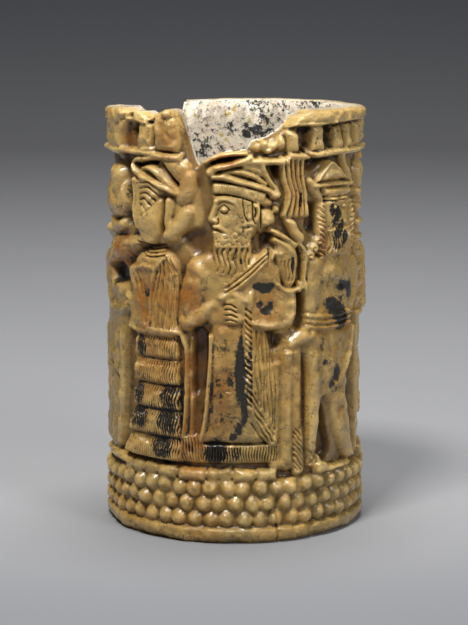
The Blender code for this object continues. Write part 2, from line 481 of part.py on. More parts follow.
def stone_points():
    """All points of the stone as a grid: up the carved wall, over the rim, down the bore and under the foot."""
    c = Carving(5)
    carve(c)
    turns = np.linspace(-180, 180, STEPS_ROUND, endpoint=False)
    line = np.array(RIM_LINE)
    shift = BACK_BREAK_SKEW * np.exp(-((turns - BACK_BREAK_AT) / 30) ** 2)
    rim, inside = (np.interp(at, line[:, 0], line[:, 1]) + 0.12 * rough(at, 0, 5) for at in (turns, turns - shift))
    torn = 0.2 * np.clip((60 - rim) / 3, 0, 1)
    rim = rim + torn * rough(turns * 2, 0, 2)
    bevel = np.full(len(turns), EDGE_ROUNDING / MODULE)
    for at, half, high in CHIPS:
        bevel = np.maximum(bevel, high * np.sqrt(np.clip(1 - ((turns - at) / half) ** 2, 0, 1)))

    floor = HEIGHT / MODULE * 0.8
    rings = []
    for share in np.linspace(0, 1, STEPS_UP):
        rise = share * HEIGHT / MODULE
        rise = np.where(rise > floor, floor + (rise - floor) * (rim - floor) / (HEIGHT / MODULE - floor), rise)
        swell = BARREL_SWELL * (1 - ((rise - 30) / 30) ** 2)
        radius = BODY_RADIUS - BARREL_SWELL + swell - RELIEF_DEPTH * (1 - sample(c, turns, rise))
        nick = np.clip(bevel - rise, 0, None) * MODULE * 0.8
        lip = np.clip(rise - rim + 0.5, 0, 0.5) ** 2 * MODULE
        rings.append((radius - nick - lip, rise * MODULE))
    bore = BORE_RADIUS + 0.00012 * rough(turns, 20, 3)
    outer = rings[-1][0]
    for share in (0.3, 0.7):
        dip = torn * (rough(turns * 2, 0, 7 + share) - 0.5)
        rings.append((outer + (bore - outer) * share, (rim + (inside - rim) * share + dip) * MODULE))
    for share in np.linspace(1, 0, STEPS_BORE):
        wall = BORE_RADIUS + 0.00012 * rough(turns, 20 * share, 3)
        rings.append((wall, inside * MODULE * share))
    outer = rings[0][0]
    for share in (0.33, 0.67):
        rings.append((wall + (outer - wall) * share, np.zeros(len(turns))))
    angle = np.radians(turns)
    points = [np.stack([r * np.sin(angle), -r * np.cos(angle), np.broadcast_to(z, r.shape)], -1) for r, z in rings]
    return np.array(points)


def honey_stone():
    """Honey-coloured, waxy stone."""
    mat = bpy.data.materials.new("honey_stone")
    mat.use_nodes = True
    skin = mat.node_tree.nodes["Principled BSDF"]
    skin.inputs["Base Color"].default_value = (0.55, 0.40, 0.21, 1)
    skin.inputs["Roughness"].default_value = 0.42
    mat.diffuse_color = (0.55, 0.40, 0.21, 1)
    return mat


def main():
    for old in list(bpy.data.objects):
        bpy.data.objects.remove(old, do_unlink=True)
    points = stone_points()
    count, around = points.shape[:2]
    index = np.arange(count * around).reshape(count, around)
    up = np.roll(index, -1, 0)
    quads = np.stack([index, np.roll(index, -1, 1), np.roll(up, -1, 1), up], -1).reshape(-1, 4)
    mesh = bpy.data.meshes.new("seal_body")
    mesh.from_pydata(points.reshape(-1, 3).tolist(), [], quads.tolist())
    mesh.update()
    mesh.materials.append(honey_stone())
    seal = bpy.data.objects.new("seal_body", mesh)
    bpy.context.scene.collection.objects.link(seal)
    thin = seal.modifiers.new("fewer faces", "DECIMATE")
    thin.ratio = TRIANGLES / (2 * len(quads))


main()
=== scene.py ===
"""A carved stone cylinder seal: a thick-walled, open-ended cylinder of honey-coloured stone with a broken rim.

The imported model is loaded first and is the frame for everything: metres, +Z up, the worn face looking along -Y.
One piece stands for the stone. It keeps the solid's form and adds the strokes of hair, hems and fringes.
"""
import math

import bpy
import numpy as np
from bpy.props import FloatProperty, IntProperty, PointerProperty, StringProperty
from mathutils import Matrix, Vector


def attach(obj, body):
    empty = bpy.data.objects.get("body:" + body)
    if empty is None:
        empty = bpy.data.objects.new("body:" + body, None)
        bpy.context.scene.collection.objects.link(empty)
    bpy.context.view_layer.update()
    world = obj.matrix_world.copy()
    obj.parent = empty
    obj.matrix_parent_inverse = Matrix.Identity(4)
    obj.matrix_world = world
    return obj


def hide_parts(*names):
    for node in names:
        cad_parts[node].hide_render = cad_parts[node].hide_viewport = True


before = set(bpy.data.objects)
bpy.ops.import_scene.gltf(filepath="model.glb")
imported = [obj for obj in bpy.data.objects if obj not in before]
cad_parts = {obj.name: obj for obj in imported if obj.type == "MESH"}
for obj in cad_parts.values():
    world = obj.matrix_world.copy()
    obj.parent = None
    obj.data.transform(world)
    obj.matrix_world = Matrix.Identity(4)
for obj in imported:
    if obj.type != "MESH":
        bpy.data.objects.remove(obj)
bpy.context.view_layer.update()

bl_info = {
    "name": "Carved Cylinder Seal",
    "version": (1, 0, 0),
    "blender": (4, 5, 0),
    "location": "View3D > Sidebar > Seal",
    "description": "Carves a broken stone cylinder seal in high relief and sets it on a plain floor",
    "category": "Object",
}

# The stone, in metres
HEIGHT = 0.0600
BODY_RADIUS = 0.0193
RELIEF_DEPTH = 0.0024
WALL_BEHIND_RELIEF = 0.0022
BARREL_SWELL = 0.00035
EDGE_ROUNDING = 0.0004

# Bands, in modules
BASE_BAND = 2.3
BEAD_TALL = 2.25
BEAD_ROWS = 3
BEADS_ROUND = 49
GROUND_LINE = 9.1
LOWER_BEAM = 54.7
UPPER_BEAM = 59.0

# The broken rim: azimuth, height in modules
RIM_LINE = (
    (-180, 60.0), (-156.4, 60.0), (-155, 56.0), (-154.2, 54.6), (-146, 54.0), (-135, 54.5), (-129.2, 55.4),
    (-127.8, 58.4), (-112, 60.0), (-90, 60.2), (-64, 60.7), (-58, 60.3), (-49, 60.5), (-44.5, 60.0), (-41.5, 59.5),
    (-37, 60.4), (-33, 61.0), (-30, 60.9), (-28, 60.0), (-25.5, 58.0), (-21, 54.2), (-18.5, 53.0), (-13, 54.2),
    (-4, 55.4), (6, 55.5), (9, 56.7), (17, 57.1), (24, 58.3), (30, 60.0), (37, 60.8), (75, 60.6), (110, 60.2),
    (180, 60.0),
)
# The back break runs askew through the wall: the bore's edge of it stands this many degrees further round
BACK_BREAK_AT = -137
BACK_BREAK_SKEW = 9

# Chips along the lower edge: azimuth, half width in degrees, height in modules
CHIPS = (
    (-29, 3.5, 0.6), (-6, 8, 0.35), (26, 8, 0.9), (42, 9, 1.0), (57, 6, 0.5), (96, 5, 0.6), (150, 7, 0.7),
    (-112, 6, 0.6),
)

# Brown-orange iron staining: azimuth, height, half width, half height, strength
STAINS = (
    (-62, 39.5, 12, 3.4, 1.0), (-42, 35, 6, 6, 0.8), (-30, 36, 8, 6, 0.5), (-18, 26, 6, 9, 1.0), (-20, 35, 6, 6, 0.9),
    (-16, 42.5, 7, 2, 0.8), (-73, 60.4, 4, 2, 0.8), (-56, 56.6, 4, 1.8, 0.9), (-20, 14, 7, 5, 0.8),
    (-36, 24, 12, 3, 0.5), (14, 33.5, 6, 2.5, 0.6), (-8, 32, 12, 2, 0.4), (-6, 20, 6, 6, 0.6), (-22, 51, 6, 3, 0.5),
    (-72, 47, 5, 3, 0.4), (-31, 57.5, 5, 3, 0.8), (-5, 53.9, 6, 0.9, 1.0), (27, 50, 4, 5, 0.5), (42, 42.5, 2.5, 3, 0.7),
    (-34, 28, 10, 3, 0.4), (150, 30, 20, 12, 0.7), (-120, 46, 14, 8, 0.6), (100, 50, 12, 6, 0.4),
)

# Dark residue, written the same way; strengths under about 0.5 leave only a brown mottling
RESIDUES = (
    (-45, 27.6, 2.6, 1.9, 1.0), (-47.5, 20.6, 4.4, 2.1, 1.0), (-29.6, 20.3, 5.8, 2.2, 1.0),
    (-47.5, 17.2, 6.4, 2.2, 1.0), (-31, 17.2, 6.2, 2.3, 1.0), (-38, 19, 6, 0.6, 0.9), (-34, 13.3, 6, 2.3, 1.0),
    (-36, 15, 8, 0.5, 0.9), (-41.4, 35.3, 2.2, 0.8, 0.9), (2.2, 24.6, 2.4, 4.4, 1.1), (4.0, 19.4, 1.6, 2.6, 1.0),
    (2.4, 29.2, 0.9, 1.6, 0.8), (1.6, 16.6, 2.0, 0.9, 1.0), (-1, 15.4, 2.0, 0.6, 1.0), (-8, 13.2, 5.6, 1.9, 1.1),
    (0.5, 13.2, 2.6, 1.2, 0.7), (6.2, 24.5, 1.6, 4.4, 0.85), (-2.2, 23.3, 1.5, 0.7, 1.0), (-8, 23.6, 0.9, 0.7, 0.8),
    (-10, 20.4, 0.7, 1.9, 0.8), (9.2, 36.9, 2, 0.6, 1.0), (12.8, 36.5, 2.6, 0.7, 1.1), (15.6, 36.9, 1.6, 0.5, 0.9),
    (10.6, 34.2, 1.8, 0.6, 0.9), (13.2, 33.3, 2.6, 0.7, 1.1), (15.4, 34, 1.4, 0.8, 0.8), (0.4, 41.2, 0.8, 1.0, 0.8),
    (3, 42.2, 1.2, 0.9, 0.7), (2.6, 40.4, 0.6, 0.4, 0.9), (25, 39.8, 0.8, 1.5, 0.9), (29.8, 48.2, 0.5, 1.7, 0.9),
    (46.4, 46.9, 1.6, 1.1, 1.0), (50.4, 46.4, 2.4, 1.0, 1.0), (48, 45.2, 2.6, 0.8, 1.0), (52.4, 44.6, 1.8, 0.9, 0.9),
    (50, 43.4, 3.4, 0.8, 1.0), (47.6, 42.2, 1.6, 1.4, 0.9), (54, 42.8, 2.4, 1.1, 1.0), (50.8, 41.6, 3.6, 0.6, 0.9),
    (47, 48, 3.4, 0.4, 0.7), (46, 33.7, 4.4, 0.9, 1.1), (50, 32.4, 5.2, 1.4, 1.1), (53, 31, 4.2, 1.5, 1.1),
    (54.5, 35.7, 4.5, 0.8, 0.9), (60.5, 35.0, 2.8, 1.7, 1.0), (41, 28.2, 0.9, 1.5, 0.7), (42, 25.3, 1.4, 0.5, 0.8),
    (50.2, 23.5, 2.4, 1.4, 0.8), (46.5, 22, 2, 0.8, 0.8), (50.6, 57.8, 2.2, 0.5, 0.9), (-66, 36.8, 4.4, 1.6, 0.9),
    (18.6, 28.4, 0.6, 1.2, 0.7), (-49.6, 53.1, 2.2, 0.3, 0.7), (-6, 20, 9, 6, 0.42), (-5, 27, 7, 4, 0.36),
    (-38, 21, 15, 9, 0.34), (-24, 15, 6, 4, 0.4), (48, 24, 9, 5, 0.3), (50, 35, 10, 5, 0.34), (-54, 48, 5, 6, 0.4),
    (-66, 25, 8, 10, 0.26), (3, 45, 6, 4, 0.3), (-20, 34, 8, 8, 0.22), (40, 57, 14, 3, 0.26), (-45, 58, 6, 3, 0.3),
    (112, 20, 7, 5, 0.9), (120, 34, 6, 2, 0.8), (-172, 44, 8, 3.5, 0.8), (-160, 27, 7, 3, 0.7), (-120, 22, 9, 4, 0.8),
)

# How finely the stone is drawn: steps in degrees, then rows up the wall, over the rim, down the bore, under the foot
FRONT_HALF = 88
FRONT_STEP = 0.2
BACK_STEP = 0.6
STEPS_UP = 780
STEPS_RIM = 14
STEPS_BORE = 60
STEPS_FOOT = 10
CELLS_PER_MODULE = 16
MODULE = HEIGHT / 60
ARC = math.radians(1) * BODY_RADIUS / MODULE
BORE_RADIUS = BODY_RADIUS - RELIEF_DEPTH - WALL_BEHIND_RELIEF
BORE_UNEVEN = 0.00012
# Rows above this share of the height are drawn in to end at the broken rim
RIM_FROM = 0.8
CURVE_STEPS = 5

# Levels: 1 is the outer skin
GROUND = 0.3
BOSS_GROUND = 0.6

# Raw stone, in metres: within this much of the bore, or this much inside the carved skin at the rim, then a soft edge
RAW_BY_BORE, RAW_BY_BORE_EDGE = 0.0007, 0.0003
RAW_IN_BREAK, RAW_IN_BREAK_EDGE = 0.00012, 0.0004
FOOT_CLEAR = 0.0002
# How far the raster is blurred, in cells, to find creases, hollows and deep ground
CREASE_REACH, HOLLOW_REACH, DEEP_REACH = 5, 22, 4

# Sockets of a Mix node that mixes colours
MIX_UNDER, MIX_OVER, MIX_RESULT = 6, 7, 2

# The seams of the flounced dress from the waist down: height, low side and high side
HEMS = ((29.6, -10.5, 13.0), (26.0, -11.0, 13.5), (22.3, -11.5, 13.8), (18.7, -13.0, 14.0), (14.8, -16.5, 14.5),
        (11.3, -21.5, 14.5))


def curve(points, steps=CURVE_STEPS):
    """A smooth line through the points."""
    p = np.array(points, float)
    if len(p) < 3:
        return p
    p = np.vstack([2 * p[0] - p[1], p, 2 * p[-1] - p[-2]])
    out = []
    for a, b, c, d in zip(p[:-3], p[1:-2], p[2:-1], p[3:]):
        for t in np.arange(steps) / steps:
            bow = (2 * a - 5 * b + 4 * c - d) * t ** 2 + (3 * b - a - 3 * c + d) * t ** 3
            out.append(0.5 * (2 * b + (c - a) * t + bow))
    out.append(p[-2])
    return np.array(out)


def ring(points):
    """A smooth closed outline through the points."""
    p = [tuple(q) for q in points]
    return curve(p[-2:] + p + p[:2])[2 * CURVE_STEPS:-2 * CURVE_STEPS]


def box(left, right, low, high):
    """The four corners of an upright patch."""
    return [(left, low), (right, low), (right, high), (left, high)]


class Carving:
    """The unrolled wall as a raster of levels, and the tools that shape it."""

    def __init__(self, per_module):
        self.rises = np.arange(-1, 63, 1 / per_module)
        self.turns = np.arange(-180, 180, 1 / (per_module * ARC))
        self.level = np.zeros((len(self.rises), len(self.turns)))
        self.stand(0)

    def stand(self, middle):
        """Moves the tools to a figure's own upright line."""
        self.x = ((self.turns - middle + 180) % 360 - 180) * ARC

    def window(self, points, reach):
        """The part of the raster near the points."""
        p = np.array(points, float)
        x = p[:, 0] * ARC
        cols = np.nonzero((self.x >= x.min() - reach) & (self.x <= x.max() + reach))[0]
        rows = np.nonzero((self.rises >= p[:, 1].min() - reach) & (self.rises <= p[:, 1].max() + reach))[0]
        return np.ix_(rows, cols), *np.meshgrid(self.x[cols], self.rises[rows])

    @staticmethod
    def from_line(X, Z, points, widths):
        """Distance, in modules, outside a round limb along the points."""
        p = np.array(points, float) * (ARC, 1)
        w = np.interp(np.linspace(0, 1, len(p)), np.linspace(0, 1, len(widths)), widths)
        best = np.full(X.shape, 1e9)
        for a, b, wide, end in zip(p[:-1], p[1:], w[:-1], w[1:]):
            e = b - a
            t = np.clip(((X - a[0]) * e[0] + (Z - a[1]) * e[1]) / max(e @ e, 1e-9), 0, 1)
            best = np.minimum(best, np.hypot(X - a[0] - t * e[0], Z - a[1] - t * e[1]) - (wide + (end - wide) * t))
        return best

    @staticmethod
    def from_edge(X, Z, points):
        """Distance, in modules, outside a closed outline."""
        p = np.array(points, float) * (ARC, 1)
        best = np.full(X.shape, 1e9)
        inside = np.zeros(X.shape, bool)
        for a, b in zip(p, np.roll(p, -1, 0)):
            e = b - a
            t = np.clip(((X - a[0]) * e[0] + (Z - a[1]) * e[1]) / max(e @ e, 1e-9), 0, 1)
            best = np.minimum(best, np.hypot(X - a[0] - t * e[0], Z - a[1] - t * e[1]))
            if abs(e[1]) > 1e-9:
                inside ^= ((a[1] > Z) != (b[1] > Z)) & (X < a[0] + (Z - a[1]) * e[0] / e[1])
        return np.where(inside, -best, best)

    def lift(self, where, d, top, edge, foot):
        """Raises what lies inside the distance field to a round-shouldered form."""
        dome = np.sqrt(np.clip(1 - (1 - np.clip(-d / edge, 0, 1)) ** 2, 0, 1))
        self.level[where] = np.where(d < 0, np.maximum(self.level[where], foot + (top - foot) * dome),
                                     self.level[where])

    def slab(self, points, top, edge=0.6, foot=0.0):
        """A raised patch with straight sides."""
        where, X, Z = self.window(points, 1.0)
        self.lift(where, self.from_edge(X, Z, points), top, edge, foot)

    def pad(self, points, top, edge=0.6, foot=0.0):
        """A raised patch with a smooth outline."""
        where, X, Z = self.window(points, 1.0)
        self.lift(where, self.from_edge(X, Z, ring(points)), top, edge, foot)

    def limb(self, points, widths, top, foot=0.0, edge=None):
        """A raised rounded limb along a line."""
        widths = np.atleast_1d(np.asarray(widths, float))
        where, X, Z = self.window(points, widths.max() + 0.8)
        self.lift(where, self.from_line(X, Z, curve(points), widths), top, edge or float(widths.max()), foot)

    def ball(self, place, size, top, foot=0.0, square=2.0):
        """A raised knob, round or oval, or with a higher power of square one that fills its corners."""
        wide, tall = np.broadcast_to(np.asarray(size, float), 2)
        where, X, Z = self.window([place], max(wide, tall) + 0.5)
        k = (np.abs((X - place[0] * ARC) / wide) ** square + np.abs((Z - place[1]) / tall) ** square) ** (1 / square)
        self.lift(where, (k - 1) * min(wide, tall), top, float(min(wide, tall)), foot)

    def swell(self, place, size, amount):
        """A soft rise or, with a negative amount, a soft hollow in what is there."""
        wide, tall = np.broadcast_to(np.asarray(size, float), 2)
        where, X, Z = self.window([place], max(wide, tall))
        k = np.hypot((X - place[0] * ARC) / wide, (Z - place[1]) / tall)
        self.level[where] += amount * np.clip(1 - k ** 2, 0, 1)

    def sink(self, points, floor, edge=0.8):
        """A patch cut down to a floor."""
        where, X, Z = self.window(points, 1.0)
        d = self.from_edge(X, Z, ring(points))
        t = np.clip(-d / edge, 0, 1)
        goal = np.minimum(self.level[where], floor)
        self.level[where] += (goal - self.level[where]) * t * t * (3 - 2 * t)

    def wear(self, reach):
        """Softens every edge a little, as long handling does; reach is in modules."""
        for axis, step in ((0, self.rises[1] - self.rises[0]), (1, (self.turns[1] - self.turns[0]) * ARC)):
            share = min(0.25, 0.5 * (reach / step) ** 2)
            for _ in range(max(1, round(0.5 * (reach / step) ** 2 / share))):
                beside = np.roll(self.level, 1, axis) + np.roll(self.level, -1, axis) - 2 * self.level
                self.level += share * beside

    def cut(self, points, width, depth):
        """A groove along a line."""
        where, X, Z = self.window(points, width * 2.5)
        d = self.from_line(X, Z, curve(points), (0.0, 0.0))
        self.level[where] -= depth * np.exp(-(d / width) ** 2)


def bands(c):
    """The base band and the rows of bosses above it, all round."""
    c.stand(0)
    rows = c.rises < GROUND_LINE
    c.level[rows] = BOSS_GROUND
    band = np.clip((BASE_BAND - c.rises) / 0.45, 0, 1)
    c.level[rows] = np.maximum(c.level, (0.5 + 0.5 * np.sqrt(1 - (1 - band) ** 2))[:, None])[rows]
    pitch = 360 / BEADS_ROUND
    for row in range(BEAD_ROWS):
        middle = BASE_BAND + BEAD_TALL * (row + 0.5)
        for i in range(BEADS_ROUND):
            at = -180 + pitch * (i + 0.5 * (row % 2)) + 0.5 * math.sin(i * 2.3 + row * 1.7)
            size = 1 + 0.05 * math.sin(i * 3.1 + row * 2.2)
            rise = middle + 0.11 * math.sin(i * 1.9 + row)
            wide, tall = 0.52 * size * pitch * ARC, 0.55 * BEAD_TALL / size
            c.ball((at, rise), (wide, tall), 0.98 - 0.05 * math.sin(i * 4.7 + row), 0.42, 2.3)
            c.swell((at - 0.4, rise + 0.1), (1.0, 1.0), 0.03)
            c.swell((at - 0.6, rise - 0.3), (0.28, 0.3), -0.03 * math.sin(i * 5.3 + row))


def building(c):
    """The colonnade above the figures: two thin beams, posts with dark gaps and a rounded eave, all worn."""
    c.stand(0)
    low = LOWER_BEAM + 0.5
    c.pad([(-80, 54.6), (-62, 54.9), (-60.4, 57), (-58, 59.2), (-62, 61), (-82, 60.6)], 0.84, 1.6, 0.4)
    for place, size, top in (((-72, 59.2), (1.7, 1.6), 0.96), ((-66, 58), (1.2, 1.5), 0.9),
                             ((-71, 56.2), (1.6, 1.3), 0.94), ((-60.5, 59.9), (2.6, 0.8), 0.92),
                             ((-52, 60), (2.4, 0.7), 0.86), ((-46, 59.7), (1.5, 0.6), 0.8)):
        c.ball(place, size, top, 0.5)
    posts = [(-43.4, 5.4, 58.9, 0.76), (-32.2, 6.6, 59.9, 0.86), (26.2, 2.7, 57.8, 0.8), (39.2, 3.7, 58.6, 0.76),
             (52.8, 3.4, 58.4, 0.74), (61.5, 3.0, 58.6, 0.84), (70, 3.3, 58.6, 0.84)]
    posts += [(at, 3.5, UPPER_BEAM, 0.84) for at in range(82, 278, 12)]
    for at, half, high, top in posts:
        here = (at + 180) % 360 - 180
        c.slab([(here - half, low), (here + half, low), (here + half * 0.92, high), (here - half * 0.9, high)], top,
               0.7, 0.42)
    for place, size, top in (((-31.2, 60.4), (1.2, 0.75), 0.95), ((-37, 58.9), (1.0, 0.8), 0.74),
                             ((-43.5, 57.8), (1.3, 0.8), 0.84), ((-45.2, 56.2), (0.9, 0.9), 0.84),
                             ((-41.2, 56.3), (0.8, 0.7), 0.86), ((9.5, 56), (0.8, 0.7), 0.7),
                             ((12.8, 56.3), (0.7, 0.9), 0.82), ((16.6, 56.1), (0.8, 0.7), 0.84),
                             ((20.5, 56.5), (0.75, 1.1), 0.8), ((25.8, 57.5), (0.8, 0.6), 0.8),
                             ((14.6, 55.5), (0.7, 0.4), 0.9), ((-36, 56.4), (0.9, 1.2), 0.8),
                             ((-27.5, 56.6), (0.9, 1.6), 0.8), ((52, 56.2), (0.9, 0.9), 0.84)):
        c.ball(place, size, top, 0.3)
    c.limb([(-61, 58.5), (-57, 59.3), (-50, 59.35), (-43, 59)], (0.3, 0.34, 0.3), 0.82, 0.4)
    c.slab([(-46, 55.6), (-38, 55.8), (-38.4, 55.2), (-46, 55.1)], 0.92, 0.3, 0.5)
    front = (c.turns > -62) & (c.turns < 24)
    lost = (c.turns > -24) & (c.turns < 2)
    for middle, half, gone in ((LOWER_BEAM, 0.56, lost), (UPPER_BEAM, 0.34, front)):
        sloped = np.where(front, 0.012 * (-45 - c.turns), 0)
        bowed = middle + 0.06 * np.sin(np.radians(c.turns) * 11 + middle) + 0.1 * rough(c.turns, 0, 3) + sloped
        d = (c.rises[:, None] - bowed[None, :]) / half
        dome = np.sqrt(np.clip(1 - d ** 2, 0, 1))
        beam = np.where(gone[None, :] | (np.abs(d) > 1), -9, 0.35 + 0.6 * dome)
        c.level = np.maximum(c.level, beam)
    eave = c.rises > UPPER_BEAM + 0.3
    up = np.clip((c.rises[eave] - UPPER_BEAM - 0.3) / 1.5, 0, 1)
    swollen = np.where(front, 0.62, 0.92)[None, :] - 0.34 * (up[:, None] - 0.25) ** 2
    c.level[eave] = np.maximum(c.level[eave], swollen)


def bearded_profile(c):
    """A head in profile facing the low side of its own line, with a long beard, a bun behind and a horned cap."""
    c.pad([(-9.0, 43.4), (-9.5, 45.2), (-8.8, 46.4), (-8.5, 48.2), (-9.1, 49.8), (6, 50.2), (11, 49.2), (11, 46.5),
           (7.5, 43.4)], 0.8, 1.5, 0.3)
    c.ball((-2.4, 45.9), (2.3, 1.3), 0.9, 0.55)
    c.limb([(-8.2, 48.2), (-9.2, 47.2), (-10.4, 46.1)], (0.4, 0.5, 0.55), 0.93, 0.35)
    c.ball((-8.4, 45.95), (0.5, 0.36), 0.96, 0.6)
    c.limb([(-8.4, 48.6), (-5.4, 49.0), (-1.6, 48.7), (1.2, 48)], (0.34, 0.36, 0.32, 0.2), 0.94, 0.55)
    c.ball((-4.4, 47.5), (0.85, 0.44), 0.97, 0.6)
    c.limb([(8.1, 48.1), (9.7, 47.8), (10, 46.8), (8.9, 45.9)], (0.3, 0.36, 0.34, 0.3), 0.98, 0.55)
    c.limb([(3.6, 48), (4.4, 46.6), (5.6, 45.6)], (0.45, 0.5, 0.5), 0.86, 0.6)
    c.limb([(-9.2, 45.2), (-6.4, 45.0), (-2.6, 44.2)], (0.3, 0.42, 0.22), 0.95, 0.5)
    c.limb([(-9.0, 44.3), (-7.2, 44.3)], (0.26, 0.2), 0.92, 0.5)
    c.pad([(-9.6, 43.5), (0, 43.9), (7, 43.6), (7, 40.2), (5, 38.6), (-2, 38.1), (-8.4, 38.6), (-9.8, 40.5)], 0.88, 0.6,
          0.4)
    knobs = [(-8.3 + 2.05 * i, 43.65 + 0.04 * i) for i in range(8)] + [(-7.3 + 2.05 * i, 42.85) for i in range(7)]
    knobs += [(2.6, 44.5), (4.8, 44.6), (6.9, 44.8), (4.2, 45.4), (6.2, 45.6), (8.0, 45.5), (6.0, 46.5)]
    for place in knobs:
        c.ball(place, (0.4, 0.42), 0.98, 0.72)
    c.ball((13.6, 45.8), (1.55, 1.95), 0.98, 0.3)
    c.limb([(9, 49.2), (12.5, 48.6), (15.4, 48.3)], (0.6, 0.8, 0.5), 0.78, 0.3)
    c.ball((18.2, 47.4), (0.5, 0.6), 0.85, 0.3)


def horned_cap(c):
    """The bearded figure's horned cap: a plain band, three horns one over the other, a dome and a hanging strap."""
    c.pad([(-9.8, 49.7), (-10, 51.4), (-3, 54), (6, 54.4), (13, 52.5), (15, 49.7), (5, 49.2)], 0.5, 1.0, 0.3)
    c.slab([(-9.7, 49.6), (-9.8, 51.2), (0, 51), (8, 50.3), (14, 49.7), (13, 48.5), (5, 49.1), (-3, 49.6)], 0.84, 0.35,
           0.4)
    c.limb([(-9.8, 51.9), (-5, 52), (1, 51.4), (8, 50.8), (14, 50.1), (17.5, 49.6)], (0.4, 0.55, 0.58, 0.52, 0.5, 0.45),
           0.96, 0.4)
    c.limb([(-5.5, 52.6), (1, 52.7), (8, 52), (13.5, 50.9)], (0.2, 0.42, 0.45, 0.3), 0.88, 0.4)
    c.pad([(0, 53.3), (5, 53.9), (10.5, 54.2), (12.2, 52.6), (13, 51.6), (6, 52.8)], 0.76, 0.5, 0.4)
    c.limb([(-11.1, 52.6), (-8.5, 53.1), (-3, 53.5), (2, 54), (7, 54.6)], (0.62, 0.64, 0.55, 0.5, 0.45), 1.0, 0.4)
    c.limb([(-13.4, 53.9), (-8, 54.8), (-1, 55.2), (5, 55.2)], (0.3, 0.42, 0.4, 0.35), 0.84, 0.4)
    c.limb([(11, 54.4), (12.6, 52.9), (15, 51.4), (18, 50.2)], (0.42, 0.48, 0.48, 0.5), 0.96, 0.3)
    c.ball((17.7, 49.5), (1.0, 0.78), 1.0, 0.3)
    c.cut([(-8, 52.6), (-2, 52.95), (3, 53.3)], 0.13, 0.4)
    c.cut([(-10.5, 53.7), (-6, 54.15), (-1, 54.35)], 0.2, 0.55)


